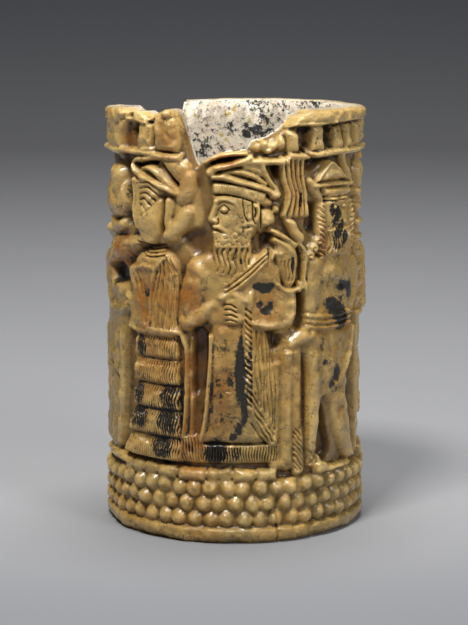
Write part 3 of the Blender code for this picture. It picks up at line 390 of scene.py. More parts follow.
def draped_woman(c, middle):
    """A standing figure in a flounced dress, facing the high side of its own line, its face worn smooth."""
    c.stand(middle)
    top, low_side, _ = HEMS[0]
    c.slab([(low_side, top + 0.6), *((a, z) for z, a, _ in HEMS[1:]), *((b, z) for z, _, b in reversed(HEMS))], 0.7,
           1.0, 0.3)
    for (high, a, e), (low, b, f) in zip(HEMS, HEMS[1:]):
        c.slab([(a + 0.3, low + 0.75 * (high - low)), (b, low), (f, low), (e - 0.2, low + 0.75 * (high - low))], 0.84,
               0.45, 0.65)
        c.cut([(b, low - 0.05), (f, low - 0.05)], 0.2, 0.28)
    c.slab([(14, 15.2), (24, 15.6), (25, 11.4), (14, 11.4)], 0.66, 0.6, 0.3)
    c.limb([(14.6, 30), (17, 27), (16.6, 20), (15.4, 15)], (0.35, 0.4, 0.36), 0.74, 0.3)
    c.limb([(19.6, 29), (19.8, 22), (18.6, 15)], (0.4, 0.5, 0.4), 0.55, 0.2)
    c.pad([(-15, 29.7), (-16, 32), (-14, 36), (-13, 38.5), (-9, 40.6), (-1, 41.5), (9, 41.2), (14, 39), (15, 34),
           (13.5, 29.5)], 0.76, 1.4, 0.3)
    c.limb([(-11, 38), (-7.4, 34.5), (-3.6, 30.4)], (1.2, 1.3, 0.8), 0.87, 0.6)
    for k in range(3):
        c.limb([(-17.5 + k, 34.3 - 0.8 * k), (-13.8 + 0.6 * k, 33.8 - 0.8 * k), (-11.6, 32 - 0.7 * k), (-11.2, 30)],
               (0.34, 0.36), 0.84, 0.5)
    c.limb([(-12.6, 38.1), (-5, 38.9), (1.5, 38.9)], (0.34, 0.34), 0.92, 0.6)
    c.limb([(1.9, 38.6), (0.1, 35.7), (-1.6, 30.2)], (0.32, 0.32), 0.92, 0.6)
    c.pad([(1.6, 38.8), (3, 39.8), (9, 40.9), (13, 39), (13.8, 30), (-1.2, 30), (0.4, 35.6)], 0.88, 0.9, 0.6)
    c.limb([(-14, 30.1), (-8, 29.7), (3, 29.8), (13.5, 30)], (0.45, 0.45), 0.86, 0.5)
    c.pad([(-9, 42), (-10, 46), (-11, 50), (-10.5, 53.6), (4, 54.2), (16.5, 53.6), (22, 50.5), (25.5, 46), (22, 43.8),
           (12, 42)], 0.5, 1.6, 0.3)
    c.pad([(-6.4, 42.5), (-7.4, 44.2), (-5.8, 46.6), (-1, 48.2), (4.4, 49), (6.2, 47.4), (5.8, 45), (4.6, 43.2),
           (-1, 42)], 0.9, 2.2, 0.5)
    c.ball((-1.4, 44.9), (2.2, 2.7), 0.97, 0.75)
    c.pad([(6.2, 43.2), (6.6, 46), (7.8, 48.6), (12.4, 48.8), (18.2, 47.9), (19.6, 46.4), (17.4, 44.4), (12.6, 42.8)],
          0.7, 1.4, 0.4)
    c.limb([(18, 47), (15.4, 45.8), (11.4, 44.3), (8.4, 43.7)], (1.0, 1.35, 1.45, 0.95), 1.0, 0.55)
    c.limb([(8.6, 48.3), (8.3, 46.6), (7.8, 45)], (0.6, 0.7, 0.6), 0.88, 0.65)
    c.cut([(12.4, 48.2), (11.2, 46.7), (11, 45.6)], 0.3, 0.14)
    c.limb([(15.5, 48.9), (17.4, 50.2), (18, 51.8)], (1.2, 1.5, 1.1), 0.93, 0.4)
    for x, high, low, wide in ((-11.2, 51, 44.4, 0.6), (-9, 50.6, 44.2, 0.55)):
        c.limb([(x, high), (x + 0.9, 48.6), (x + 0.1, 46.8), (x + 2.2, low)], (wide, wide * 1.1, wide), 0.86, 0.3)
    c.pad([(-8, 51.2), (-7.8, 47.4), (-6.2, 46.2), (0, 48), (6.2, 49.5), (7, 50.6), (0, 51.4)], 0.82, 0.8, 0.45)
    c.limb([(-12, 53.1), (-9.8, 52), (-5, 51.4), (0, 50.9), (6, 50.3), (12, 49.6), (15.6, 49.5)],
           (0.5, 0.62, 0.66, 0.62, 0.6, 0.55, 0.5), 0.96, 0.4)
    c.limb([(-12, 53.2), (-9.5, 53.8), (-4, 54), (3, 54.2)], (0.5, 0.45, 0.36, 0.3), 0.9, 0.4)
    c.limb([(-6.5, 52.7), (-1, 52.8), (4, 51.9), (9, 50.8), (14, 49.9)], (0.3, 0.62, 0.7, 0.5, 0.35), 0.9, 0.4)
    c.pad([(4.5, 53.8), (9.5, 54.2), (17, 54.1), (19.2, 52.8), (15, 51), (10.5, 51.7)], 0.84, 0.9, 0.4)
    c.cut([(-10.8, 53.3), (-8, 53.05), (-4, 53.35), (2, 53.6)], 0.2, 0.45)
    c.cut([(5, 53.8), (9.3, 52), (13.6, 50.6)], 0.14, 0.4)
    c.cut([(6.6, 48.8), (6.5, 46.4), (5.9, 44)], 0.28, 0.3)


def bearded_god(c, middle):
    """A standing bearded figure in profile facing the low side of its own line, a cord hanging from its fist."""
    c.stand(middle)
    c.slab([(-10.5, 32), (-10.8, 22), (-13, 17), (-15.4, 14.3), (20, 14.3), (18.5, 22), (16, 31)], 0.74, 1.5, 0.3)
    c.limb([(-11, 29.6), (-11.6, 24), (-13.2, 18), (-15.4, 14.6)], (0.4, 0.42, 0.4), 0.84, 0.4)
    c.slab([(-15.5, 14.3), (19.5, 14.3), (19.5, 11.5), (-15.5, 11.5)], 0.72, 0.6, 0.3)
    c.cut([(-16, 14.35), (-4, 14.45), (8, 14.25), (19.5, 14.35)], 0.16, 0.15)
    c.pad([(-21, 39.5), (-13, 41.2), (6, 41.5), (17, 40.5), (21, 37), (20, 33), (19, 30.6), (9, 31.2), (-10, 31),
           (-14, 34)], 0.76, 1.6, 0.3)
    c.pad([(4, 34.5), (7, 38), (14, 40.8), (20, 39.6), (26.5, 36), (27.2, 31.4), (22, 30.4), (10, 31.4)], 0.78, 1.0,
          0.3)
    c.limb([(20, 39.2), (24, 36.6), (25.2, 33.4), (22.5, 31.6), (15, 31.2), (8.4, 31.6)],
           (0.8, 0.95, 0.95, 0.85, 0.7, 0.6), 0.94, 0.5)
    c.swell((12.6, 35.3), (2.6, 2.6), -0.2)
    c.limb([(-16, 38.6), (-19, 35.5), (-20.8, 32.3)], (2.2, 2.2, 1.6), 0.97, 0.3)
    c.limb([(-20.8, 31.7), (-15.5, 32.7), (-10, 34), (-5, 35.1)], (1.5, 1.4, 1.1, 0.8), 0.99, 0.4)
    c.pad([(-5, 34.8), (-3, 35.5), (2, 35.5), (5, 34.4), (5, 32.6), (3, 31.6), (-3, 31.4), (-5, 32.4)], 0.97, 0.8, 0.5)
    c.limb([(-6, 35.2), (0, 35.7), (4.8, 34.7)], (0.6, 0.55, 0.45), 1.02, 0.6)
    for side in (-1, 0, 1):
        c.limb([(-4, 36.3 + 0.62 * side), (4, 38.2 + 0.8 * side), (13.5, 41 + 0.62 * side)], (0.3, 0.36, 0.3), 0.94,
               0.62)
    c.limb([(7.6, 36), (6.2, 34.8), (5.4, 30), (5.8, 24), (6.2, 19.6)], (0.4, 0.72, 0.72, 0.66, 0.5), 0.94, 0.6)
    c.limb([(6.4, 22), (8.4, 19.6), (12, 17), (16.6, 14.9)], (0.7, 1.0, 1.2, 0.9), 0.88, 0.6)
    bearded_profile(c)
    horned_cap(c)


def gate_posts(c, middle):
    """Tall plain posts behind the figures, the outer one ending in a tassel."""
    c.stand(middle)
    c.pad([(-10, 10), (-11, 20), (-13, 29), (-9, 30.5), (2, 30.5), (4, 26), (4.8, 10.2)], 0.55, 0.8, 0.2)
    for at, low, high, half, top in ((-9.2, 10, 26, 1.1, 0.68), (-3.4, 9.8, 27.6, 1.3, 0.84), (1.0, 16, 28, 1.1, 0.8)):
        c.limb([(at, low + half), (at + 0.2 * math.sin(at), 19), (at - 0.2, high - half)],
               (half * 0.82, half * 0.75, half * 0.86), top, 0.4)
        c.limb([(at - 1.1, high - 0.5), (at + 1.1, high - 0.4)], (0.42, 0.42), top + 0.06, 0.5)
    c.pad([(-0.8, 16.6), (2.8, 16.6), (5.2, 13), (5.2, 9.8), (-0.6, 9.8)], 0.82, 0.8, 0.4)


def waving_strands(c, middle):
    """Streams of water falling in side-by-side strands above a small bearded head in a frame."""
    c.stand(middle)
    c.pad([(-6, 54.3), (7.5, 54.3), (7, 51.5), (9.4, 48), (8, 46), (-4.6, 46), (-2.6, 49), (-4.4, 52)], 0.45, 0.5, 0.2)
    for i in range(5):
        c.limb([(-4.2 + 2.5 * i, 54.4), (-3.0 + 2.2 * i, 51.7), (-0.9 + 2.05 * i, 49.2), (-3.2 + 2.75 * i, 46.5)],
               (0.42, 0.44, 0.42, 0.46), 0.82 + 0.03 * (i % 2), 0.42)
    c.sink([(-14.5, 44.6), (-10.5, 45.6), (-4, 46), (7.4, 45.2), (8.4, 38), (6.4, 35.6), (-4.4, 36), (-6.6, 38.8),
            (-12, 41.8)], 0.32, 0.7)
    c.pad([(-3.4, 45.9), (1.6, 45.9), (4, 44.5), (6.3, 43.8), (6.1, 42.7), (2.6, 42.6), (-0.6, 43.9)], 0.98, 0.7, 0.3)
    c.pad([(-7.8, 43.2), (-2, 43), (2.6, 41.6), (3, 38.5), (1, 36.6), (-2.4, 36.4), (-5.4, 38.4), (-8, 40.8)], 0.88,
          0.7, 0.3)
    for drop in (0, 1.05):
        c.limb([(-9.4, 44.5 - drop), (-4, 43.6 - drop), (1.4 - drop, 42.3 - drop)], (0.42, 0.45), 1.0, 0.5)
    c.ball((-5.6, 41.3), (0.9, 0.55), 0.98, 0.6)
    c.limb([(-8.6, 41.6), (-9.2, 40.6)], (0.35, 0.4), 0.9, 0.4)
    c.limb([(3.4, 42.6), (6.2, 41.3), (6.8, 39.2), (5.6, 36.8)], (0.45, 0.52, 0.5, 0.4), 0.9, 0.3)
    c.limb([(-6.6, 37), (-3, 36), (2, 36.1), (7.2, 36.6)], (0.4, 0.42), 0.96, 0.4)
    for at in (3.6, 6.4):
        c.limb([(at, 35.8), (at, 37)], (0.34, 0.34), 1.0, 0.5)


def curled_hero(c, middle):
    """A standing frontal figure with side curls, a square beard and a belt of three bands, its far leg stepping out."""
    c.stand(middle)
    c.pad([(-18, 38), (-15, 40.2), (0, 41), (14, 40.2), (17, 36), (13, 32), (10, 30), (-19, 30), (-18.5, 33)], 0.74,
          1.8, 0.3)
    c.limb([(-14, 38.8), (-16.6, 36), (-16.4, 33.8)], (1.7, 1.8, 1.5), 0.9, 0.5)
    c.limb([(-12, 37.6), (-4, 38), (6, 36.6), (10, 34.6)], (1.0, 1.3, 1.2, 0.9), 0.86, 0.5)
    c.limb([(14, 38.5), (15.5, 35), (12, 32.6)], (1.4, 1.2, 1.0), 0.86, 0.5)
    c.pad([(-19, 30.4), (-22.5, 28), (-19.6, 24), (-19.4, 12), (-17, 10.2), (-11.8, 10.3), (-12.8, 13), (-12.2, 17.5),
           (-9.6, 19.8), (-6, 19.4), (-2.4, 15.8), (3.5, 12.4), (10, 9.9), (19.5, 9.8), (15.5, 12.5), (10.4, 17),
           (8.6, 22), (8.2, 25), (12.6, 29.3), (9, 30.6)], 0.82, 1.6, 0.2)
    c.limb([(-15, 28), (-15.4, 20), (-15.8, 13)], (1.2, 1.1, 0.8), 0.94, 0.7)
    c.limb([(2, 20.5), (6, 17), (11, 12)], (1.2, 1.1, 0.8), 0.9, 0.6)
    c.limb([(11.5, 29.3), (9, 26.5), (3.5, 23.2), (-2, 21.2)], (0.6, 0.75, 0.6, 0.3), 0.95, 0.6)
    c.limb([(-26.2, 28.3), (-21.5, 29.2), (-16.5, 29.4)], (0.9, 1.3, 1.2), 0.96, 0.5)
    for low in (30.3, 31.1, 31.9):
        c.limb([(-19, low + 0.3), (-8, low - 0.1), (8, low + 0.1)], (0.36, 0.38), 0.92, 0.6)
    c.pad([(-14, 12), (-8.6, 11.6), (-5.4, 9.9), (-6, 9.1), (-14.5, 9.2)], 0.94, 0.8, 0.3)
    c.slab([(-8, 10.2), (0, 9.9), (13, 9.9), (13.5, 9), (-8, 9)], 0.9, 0.5, 0.3)
    for side in (-1, 1):
        c.limb([(side * 10.3, 47.4), (side * 10.8, 44), (side * 10, 40.4)], (0.7, 0.85, 0.75), 0.86, 0.4)
        for i in range(3):
            c.ball((side * (12.6 + 2.3 * i), 42.4 - 0.95 * i), (0.95, 0.9), 0.88, 0.3)
    c.slab([(-9, 40.4), (-9, 47.6), (-8, 49.4), (8, 49.4), (9, 47.6), (9, 40.4)], 0.84, 1.3, 0.3)
    c.slab([(-8.4, 44.6), (8.4, 44.6), (8.8, 40.3), (-8.8, 40.3)], 0.93, 0.8, 0.6)
    c.limb([(0, 47.6), (0, 46.4), (0, 45.6)], (0.35, 0.45, 0.7), 0.98, 0.7)
    for side in (-1, 1):
        c.ball((side * 3.8, 47.1), (0.8, 0.45), 0.94, 0.75)
        c.limb([(side * 1.4, 48), (side * 4, 48.35), (side * 7, 47.8)], (0.25, 0.32, 0.25), 0.92, 0.7)
        c.limb([(side * 0.4, 45), (side * 3, 44.9), (side * 5.6, 44.4)], (0.28, 0.35, 0.2), 0.96, 0.7)
    c.slab([(-9.4, 48.8), (-9.6, 49.9), (9.4, 49.7), (9.2, 48.7)], 0.84, 0.35, 0.4)
    c.limb([(-14.4, 50.3), (0, 50.3), (12, 50)], (0.36, 0.42, 0.4), 0.92, 0.3)
    c.limb([(-16.6, 51), (-14, 49.9), (-10.6, 48.3)], (0.7, 0.9, 0.6), 0.74, 0.3)
    c.slab([(-13.5, 50.8), (-8, 52.6), (-4.6, 53.4), (0, 52.6), (10, 50.7)], 0.8, 0.8, 0.3)
    c.limb([(-9, 51.2), (-3, 51.9), (6, 51.1)], (0.35, 0.55, 0.35), 0.9, 0.5)
    c.limb([(-12.6, 51), (-8, 52.7), (-4.8, 53.4), (0.4, 52.4), (8.6, 50.8)], (0.26, 0.3, 0.3, 0.26), 0.9, 0.4)
    c.limb([(3.6, 54.3), (7, 52.4), (12.6, 50.2)], (0.6, 0.6, 0.45), 0.84, 0.3)


def ringed_post(c, middle):
    """A tall gatepost of reeds bound with rings, with a loop at its head."""
    c.stand(middle)
    c.limb([(0, 11), (0, 30), (0, 49)], (1.3, 1.25, 1.2), 0.7, 0.2)
    for rise in np.arange(31, 50, 2.2):
        c.limb([(-3.6, rise), (0, rise - 0.1), (3.6, rise)], (0.6, 0.6), 0.86, 0.5)
    for i in range(9):
        turn = math.radians(-60 + 30 * i)
        c.ball((2.6 - 3.4 * math.cos(turn), 50.8 + 1.5 * math.sin(turn)), 0.8, 0.85, 0.3)


def attendant(c, middle):
    """A plainly dressed, worn figure in profile facing the high side of its own line, one arm held out."""
    c.stand(middle)
    c.pad([(-13, 39), (-8, 42), (8, 42.5), (13, 40), (12, 30), (11, 22), (6.5, 12), (-16, 12), (-13, 22), (-14, 32)],
          0.74, 2.2, 0.3)
    c.limb([(-10, 38.5), (2, 40), (14, 41.3), (24, 42.6)], (2.0, 1.9, 1.5, 0.9), 0.92, 0.3)
    c.limb([(-10, 37), (-4, 33), (6, 31.8), (12.5, 32.6)], (1.9, 1.6, 1.3, 0.9), 0.9, 0.3)
    c.pad([(-11, 47), (-9.5, 51), (-2, 52.9), (8, 52.2), (13.5, 49.5), (12, 46.6), (4, 45.2), (-8, 44.8)], 0.95, 2.6,
          0.3)
    for place, size, amount in (((-4, 50.2), (2.0, 1.4), -0.16), ((6, 47.8), (1.6, 2.0), -0.14),
                                ((0, 47), (2.2, 1.0), 0.08), ((9, 50.4), (1.4, 1.2), -0.12)):
        c.swell(place, size, amount)
    c.cut([(10.4, 51.2), (7.6, 49.6), (8.4, 47.4), (6, 45.8)], 0.24, 0.22)
    c.cut([(2, 52.2), (0.4, 50), (2.2, 48.4)], 0.2, 0.14)
    c.limb([(-6, 44.6), (0, 43.7), (8, 44.2)], (0.9, 1.0, 0.8), 0.72, 0.3)
    for i in range(4):
        c.limb([(-9 + 6 * i, 29), (-10 + 6 * i, 20), (-12 + 5.6 * i, 12.6)], (0.9, 1.1, 0.9), 0.86, 0.5)
    c.limb([(-13, 10.6), (4, 10.4), (11, 10.1)], (0.8, 0.9, 0.7), 0.86, 0.4)


def footing(c):
    """The ledge that the figures stand on, broken into worn blocks."""
    c.stand(0)
    blocks = ((-60, -53, 0.72), (-52.4, -46, 0.8), (-45.2, -38, 0.7), (-37, -27, 0.82), (-26, -13, 0.94),
              (-12.4, -7.6, 0.76), (-7, -1.6, 0.7), (-1, 9, 0.86), (9.6, 19, 0.92))
    c.slab(box(-60, 19, 9.3, 10.5), 0.68, 0.5, 0.5)
    for left, right, top in blocks:
        lean = 0.2 * math.sin(left * 1.7)
        corners = [(left, 9.05 + lean), (right, 8.95 - lean), (right - 0.5, 10.75 + lean), (left + 0.6, 10.6 - lean)]
        c.slab(corners, top, 0.8, 0.6)
    for i in range(14):
        at = 78 + 17 * i
        c.slab(box(at, at + 13, 9.0, 10.9), 0.85, 0.6, 0.4)


def hollows(c):
    """The places where the ground between the figures is cut deepest."""
    for middle in (0, 112):
        c.stand(middle)
        c.sink([(-20.5, 30.4), (-11.4, 30.4), (-11.8, 24), (-14, 21.5), (-20.5, 21.5)], -0.1, 0.9)
        c.sink([(-19.6, 22), (-14, 22), (-16.4, 15), (-19, 15)], 0.15, 1.0)
        c.sink([(-27, 43.4), (-17, 45.2), (-10.5, 44.2), (-11, 41.6), (-20, 40.8)], 0.12, 1.0)
        c.sink([(10.2, 44), (17, 44.4), (16, 42.6), (10.5, 41.5)], -0.1)
        c.sink([(14, 54.3), (20.2, 54.3), (20.6, 52.8), (19.6, 51.4), (16.6, 52)], -0.25)
        c.sink([(12, 30.6), (20, 30.2), (22, 29.8), (20, 28), (15.5, 27.5)], 0.15)
    for middle in (52, -172):
        c.stand(middle)
        c.sink([(-20.4, 54.3), (-6, 54.4), (-9, 53.2), (-14, 52.2), (-19.6, 52.6)], -0.1)
        c.sink([(-19, 47.8), (-12.4, 48), (-11.8, 44.8), (-15, 43.4), (-19.4, 44.6)], -0.15)
        c.sink([(-25, 35.4), (-20.4, 35.2), (-20.4, 31), (-25, 31)], 0.0)
        c.sink([(-12.4, 16.6), (-9.4, 19.3), (-6.4, 18.4), (-3.8, 15.4), (-0.8, 12.6), (-2.6, 11), (-9.2, 10.5),
                (-12.2, 12)], -0.3, 0.6)
        c.sink([(12.6, 29), (19, 30), (20, 12), (16.6, 12.6), (11.6, 18), (9.4, 24)], 0.05, 1.2)
        c.sink([(11.8, 47), (18.5, 46.5), (16.5, 43.5), (12.4, 44)], 0.05)
    c.stand(0)
    c.sink([(-61, 46.4), (-53, 46), (-53.5, 44), (-60, 44.2)], 0.0)
    c.sink([(-65, 54.2), (-51.6, 54.2), (-53, 50), (-56, 47), (-60, 50)], 0.1)
    c.sink([(-74, 38), (-62, 39.5), (-56, 38), (-57, 35.5), (-70, 35.6)], 0.1, 1.0)


def openings(c):
    """The niches of the colonnade on the worn face, cut deepest under the eave."""
    c.stand(0)
    c.sink([(-60.5, 55.7), (-60, 57.6), (-57, 58.7), (-51.6, 58.8), (-49, 57.6), (-50, 56.4), (-53, 55.7)], 0.34, 1.0)
    c.sink([(-55, 57.6), (-54, 58.7), (-50.6, 58.9), (-48.8, 58.2), (-48.2, 57), (-50.4, 57)], -0.2, 0.6)
    c.sink([(-56, 59.4), (-54, 60.3), (-50, 60.2), (-51.5, 59.5)], 0.3, 0.4)
    c.cut([(-59, 59.2), (-56.5, 60.2), (-54, 60.9)], 0.16, 0.3)
    c.cut([(-38.4, 59.4), (-38, 57.4), (-38.8, 55.8)], 0.3, 0.3)
    c.cut([(-48, 54.5), (-40, 54.6), (-37.6, 55.4)], 0.14, 0.18)
    c.sink([(29.6, 55.5), (28.8, 57.4), (30, 58.7), (36, 58.7), (35.4, 57), (34.6, 55.4)], -0.05, 0.7)
    c.sink([(43.6, 55.4), (43.2, 58.6), (49.2, 58.7), (49, 55.5)], -0.1, 0.7)
    c.sink([(56.2, 55.4), (56.4, 58.6), (58, 58.6), (57.8, 55.5)], 0.0, 0.5)
    c.sink([(65, 55.4), (65, 58.6), (66.6, 58.6), (66.6, 55.5)], 0.0, 0.5)


def damage(c):
    """Old breaks: the line across the worn face, the parted beam and the crack up from the foot."""
    c.stand(0)
    c.cut([(-45, 45.9), (-38, 47.8), (-31.5, 49.7)], 0.09, 0.3)
    c.cut([(29.6, 57), (31, 55.9), (33.6, 54.9), (38.4, 53.9)], 0.16, 0.75)
    c.cut([(18.6, 0.3), (18.9, 1.4), (18.5, 2.5)], 0.11, 0.34)
    c.cut([(18.5, 2.5), (18.1, 4.4), (19.0, 6.6), (18.4, 9)], 0.08, 0.17)
    c.cut([(-34, 36.9), (-31, 36), (-28, 35)], 0.08, 0.2)
    c.cut([(-34.4, 33.3), (-29, 32.1)], 0.08, 0.2)
    c.cut([(-72, 24), (-66, 22.6), (-60, 20)], 0.1, 0.25)


def carve(c):
    """Lays out the whole wall: the worn face at the front, plainer figures in keeping behind."""
    c.level[:] = GROUND
    bands(c)
    gate_posts(c, 27)
    attendant(c, -69)
    draped_woman(c, -39)
    curled_hero(c, 52)
    bearded_god(c, 0)
    waving_strands(c, 25)
    ringed_post(c, 74)
    bearded_god(c, 112)
    ringed_post(c, 144)
    curled_hero(c, -172)
    ringed_post(c, -144)
    attendant(c, -117)
    footing(c)
    hollows(c)
    building(c)
    openings(c)
    damage(c)
    c.level = np.clip(c.level, -0.25, 1.0)
    weather(c)
    c.wear(0.13)
    c.level += 0.014 * grain(c, 0.7, 41) + 0.012 * grain(c, 0.32, 42)


def weather(c):
    """The softened, uneven skin that water and handling leave: broad swellings, shallow dents and a few lost flakes."""
    worn = 0.05 * grain(c, 2.6, 3) + 0.05 * grain(c, 1.2, 5) + 0.02 * grain(c, 0.55, 7)
    flakes = np.clip(grain(c, 1.7, 11) + 0.5 * grain(c, 0.7, 12) - 0.62, 0, 0.2)
    heights = np.clip(c.level * 1.6 - 0.6, 0, 1)
    c.level += worn - 0.5 * flakes * heights
    torn = np.clip((c.rises[:, None] - LOWER_BEAM + 0.5) / 1.5, 0, 1) * np.ones(len(c.turns))[None, :]
    c.level += torn * (0.08 * grain(c, 1.0, 21) + 0.05 * grain(c, 0.5, 22))


def sample(c, raster, turns, rises):
    """Reads a raster at any points of the wall."""
    step_x = c.turns[1] - c.turns[0]
    step_z = c.rises[1] - c.rises[0]
    u = (turns + 180) % 360 / step_x
    v = np.clip((rises - c.rises[0]) / step_z, 0, len(c.rises) - 1.001)
    i, j = np.floor(u).astype(int) % len(c.turns), np.floor(v).astype(int)
    fu, fv = u - np.floor(u), v - j
    k = (i + 1) % len(c.turns)
    low = raster[j, i] * (1 - fu) + raster[j, k] * fu
    high = raster[j + 1, i] * (1 - fu) + raster[j + 1, k] * fu
    return low * (1 - fv) + high * fv


def grain(c, size, seed):
    """A smooth, repeatable unevenness over the whole wall, -1 to 1, with lumps of a size in modules."""
    rows = int(np.ptp(c.rises) / size) + 3
    cols = int(360 * ARC / size)
    lattice = np.random.default_rng(seed).uniform(-1, 1, (rows, cols))
    v, u = (c.rises - c.rises[0]) / size, np.linspace(0, cols, len(c.turns), endpoint=False)
    j, i = v.astype(int), u.astype(int)
    fv, fu = (v - j)[:, None], (u - i)[None, :]
    fv, fu = fv * fv * (3 - 2 * fv), fu * fu * (3 - 2 * fu)
    low, high = lattice[j], lattice[j + 1]
    k = (i + 1) % cols
    return (low[:, i] * (1 - fu) + low[:, k] * fu) * (1 - fv) + (high[:, i] * (1 - fu) + high[:, k] * fu) * fv


def comb(c, points, pitch, depth, lean=0.0, wave=0.1):
    """Side-by-side strokes that fill a patch, uneven as hand work is: pitch in modules, lean in degrees."""
    where, X, Z = c.window(points, 0.3)
    d = c.from_edge(X, Z, points)
    a = math.radians(lean)
    middle = np.mean([q[1] for q in points])
    across = X * math.cos(a) + (Z - middle) * math.sin(a)
    down = -X * math.sin(a) + (Z - middle) * math.cos(a)
    across = across + wave * np.sin(down * 2.1 + across * 0.7) + 0.32 * pitch * c.wander[where]
    groove = (0.5 + 0.5 * np.cos(2 * math.pi * across / pitch)) ** 1.3
    c.level[where] -= depth * groove * np.clip(-d / 0.15, 0, 1) * (0.8 + 0.45 * c.wander[where])


def strands(c, first, last, count, width, depth, wave=0.0):
    """Grooves in even steps from one line to another."""
    t = np.linspace(0, 1, 24)
    ends = []
    for line in (curve(first, 8), curve(last, 8)):
        at = np.linspace(0, 1, len(line))
        ends.append(np.stack([np.interp(t, at, line[:, k]) for k in (0, 1)], -1))
    for i, share in enumerate(np.linspace(0, 1, count)):
        line = ends[0] + (ends[1] - ends[0]) * share
        line[:, 0] += wave / ARC * np.sin(t * 9 + i * 1.7)
        where, X, Z = c.window(line, width * 2.5)
        d = c.from_line(X, Z, line, (0.0, 0.0))
        c.level[where] -= depth * np.exp(-(d / width) ** 2) * (0.85 + 0.4 * c.wander[where])


def stroke(c, line, width, depth):
    """One groove of the same uneven hand work."""
    strands(c, line, line, 1, width, depth)


def curl(c, place, size, depth, hand):
    """A short spiral groove in a knob of hair."""
    t = np.linspace(0, 1, 10)
    turn = hand * (0.4 + t * 5.2)
    reach = size * (0.85 - 0.55 * t)
    points = np.stack([place[0] + reach * np.cos(turn) / ARC, place[1] + reach * np.sin(turn)], -1)
    where, X, Z = c.window(points, 0.3)
    c.level[where] -= depth * np.exp(-(c.from_line(X, Z, points, (0.0, 0.0)) / 0.1) ** 2)


def woman_strokes(c, middle):
    """Flounces, necklace, dress and hair of the draped figure."""
    c.stand(middle)
    for k, ((high, a, e), (low, b, f)) in enumerate(zip(HEMS, HEMS[1:])):
        comb(c, [(a + 0.5, high - 0.3), (b + 0.3, low + 0.05), (f - 0.2, low + 0.05), (e - 0.3, high - 0.3)], 0.42,
             0.27, wave=0.09 + 0.02 * k)
    comb(c, [(14.5, 15), (23.5, 15.3), (24.5, 11.6), (14.6, 11.6)], 0.44, 0.2, lean=8)
    strands(c, [(2.6, 38.4), (0.9, 35.6), (-0.8, 30.4)], [(9.4, 40.8), (13.4, 37.6), (13.8, 30.4)], 17, 0.12, 0.2, 0.07)
    strands(c, [(-10, 37.6), (-6.4, 34), (-3.2, 30.8)], [(-6, 38.2), (-3.4, 34.6), (-2.2, 31)], 3, 0.12, 0.14)
    strands(c, [(-8, 42.4), (-1.5, 41.9), (6.4, 42.2)], [(-7, 40.9), (-1, 40.3), (7, 40.7)], 4, 0.14, 0.22)
    comb(c, [(-20, 41.4), (-12.6, 41.8), (-12.4, 38.9), (-20, 38)], 0.6, 0.2, lean=6, wave=0.15)
    strands(c, [(-10.8, 50.5), (-10, 48.4), (-10.6, 46.6), (-8.8, 44.4)],
            [(-8.6, 50.5), (-7.8, 48.4), (-8.4, 46.6), (-6.6, 44.4)], 3, 0.12, 0.16)
    for start, x, end in ((50.7, 5.8, 49.6), (49.95, 4, 49.0), (49.15, 1.6, 48.3), (48.35, -1, 47.6),
                          (47.5, -3.8, 46.9)):
        line = [(-7.2, start - 0.15), (0.5 * (x - 8), start + 0.1), (x, end)]
        stroke(c, line, 0.15, 0.2)


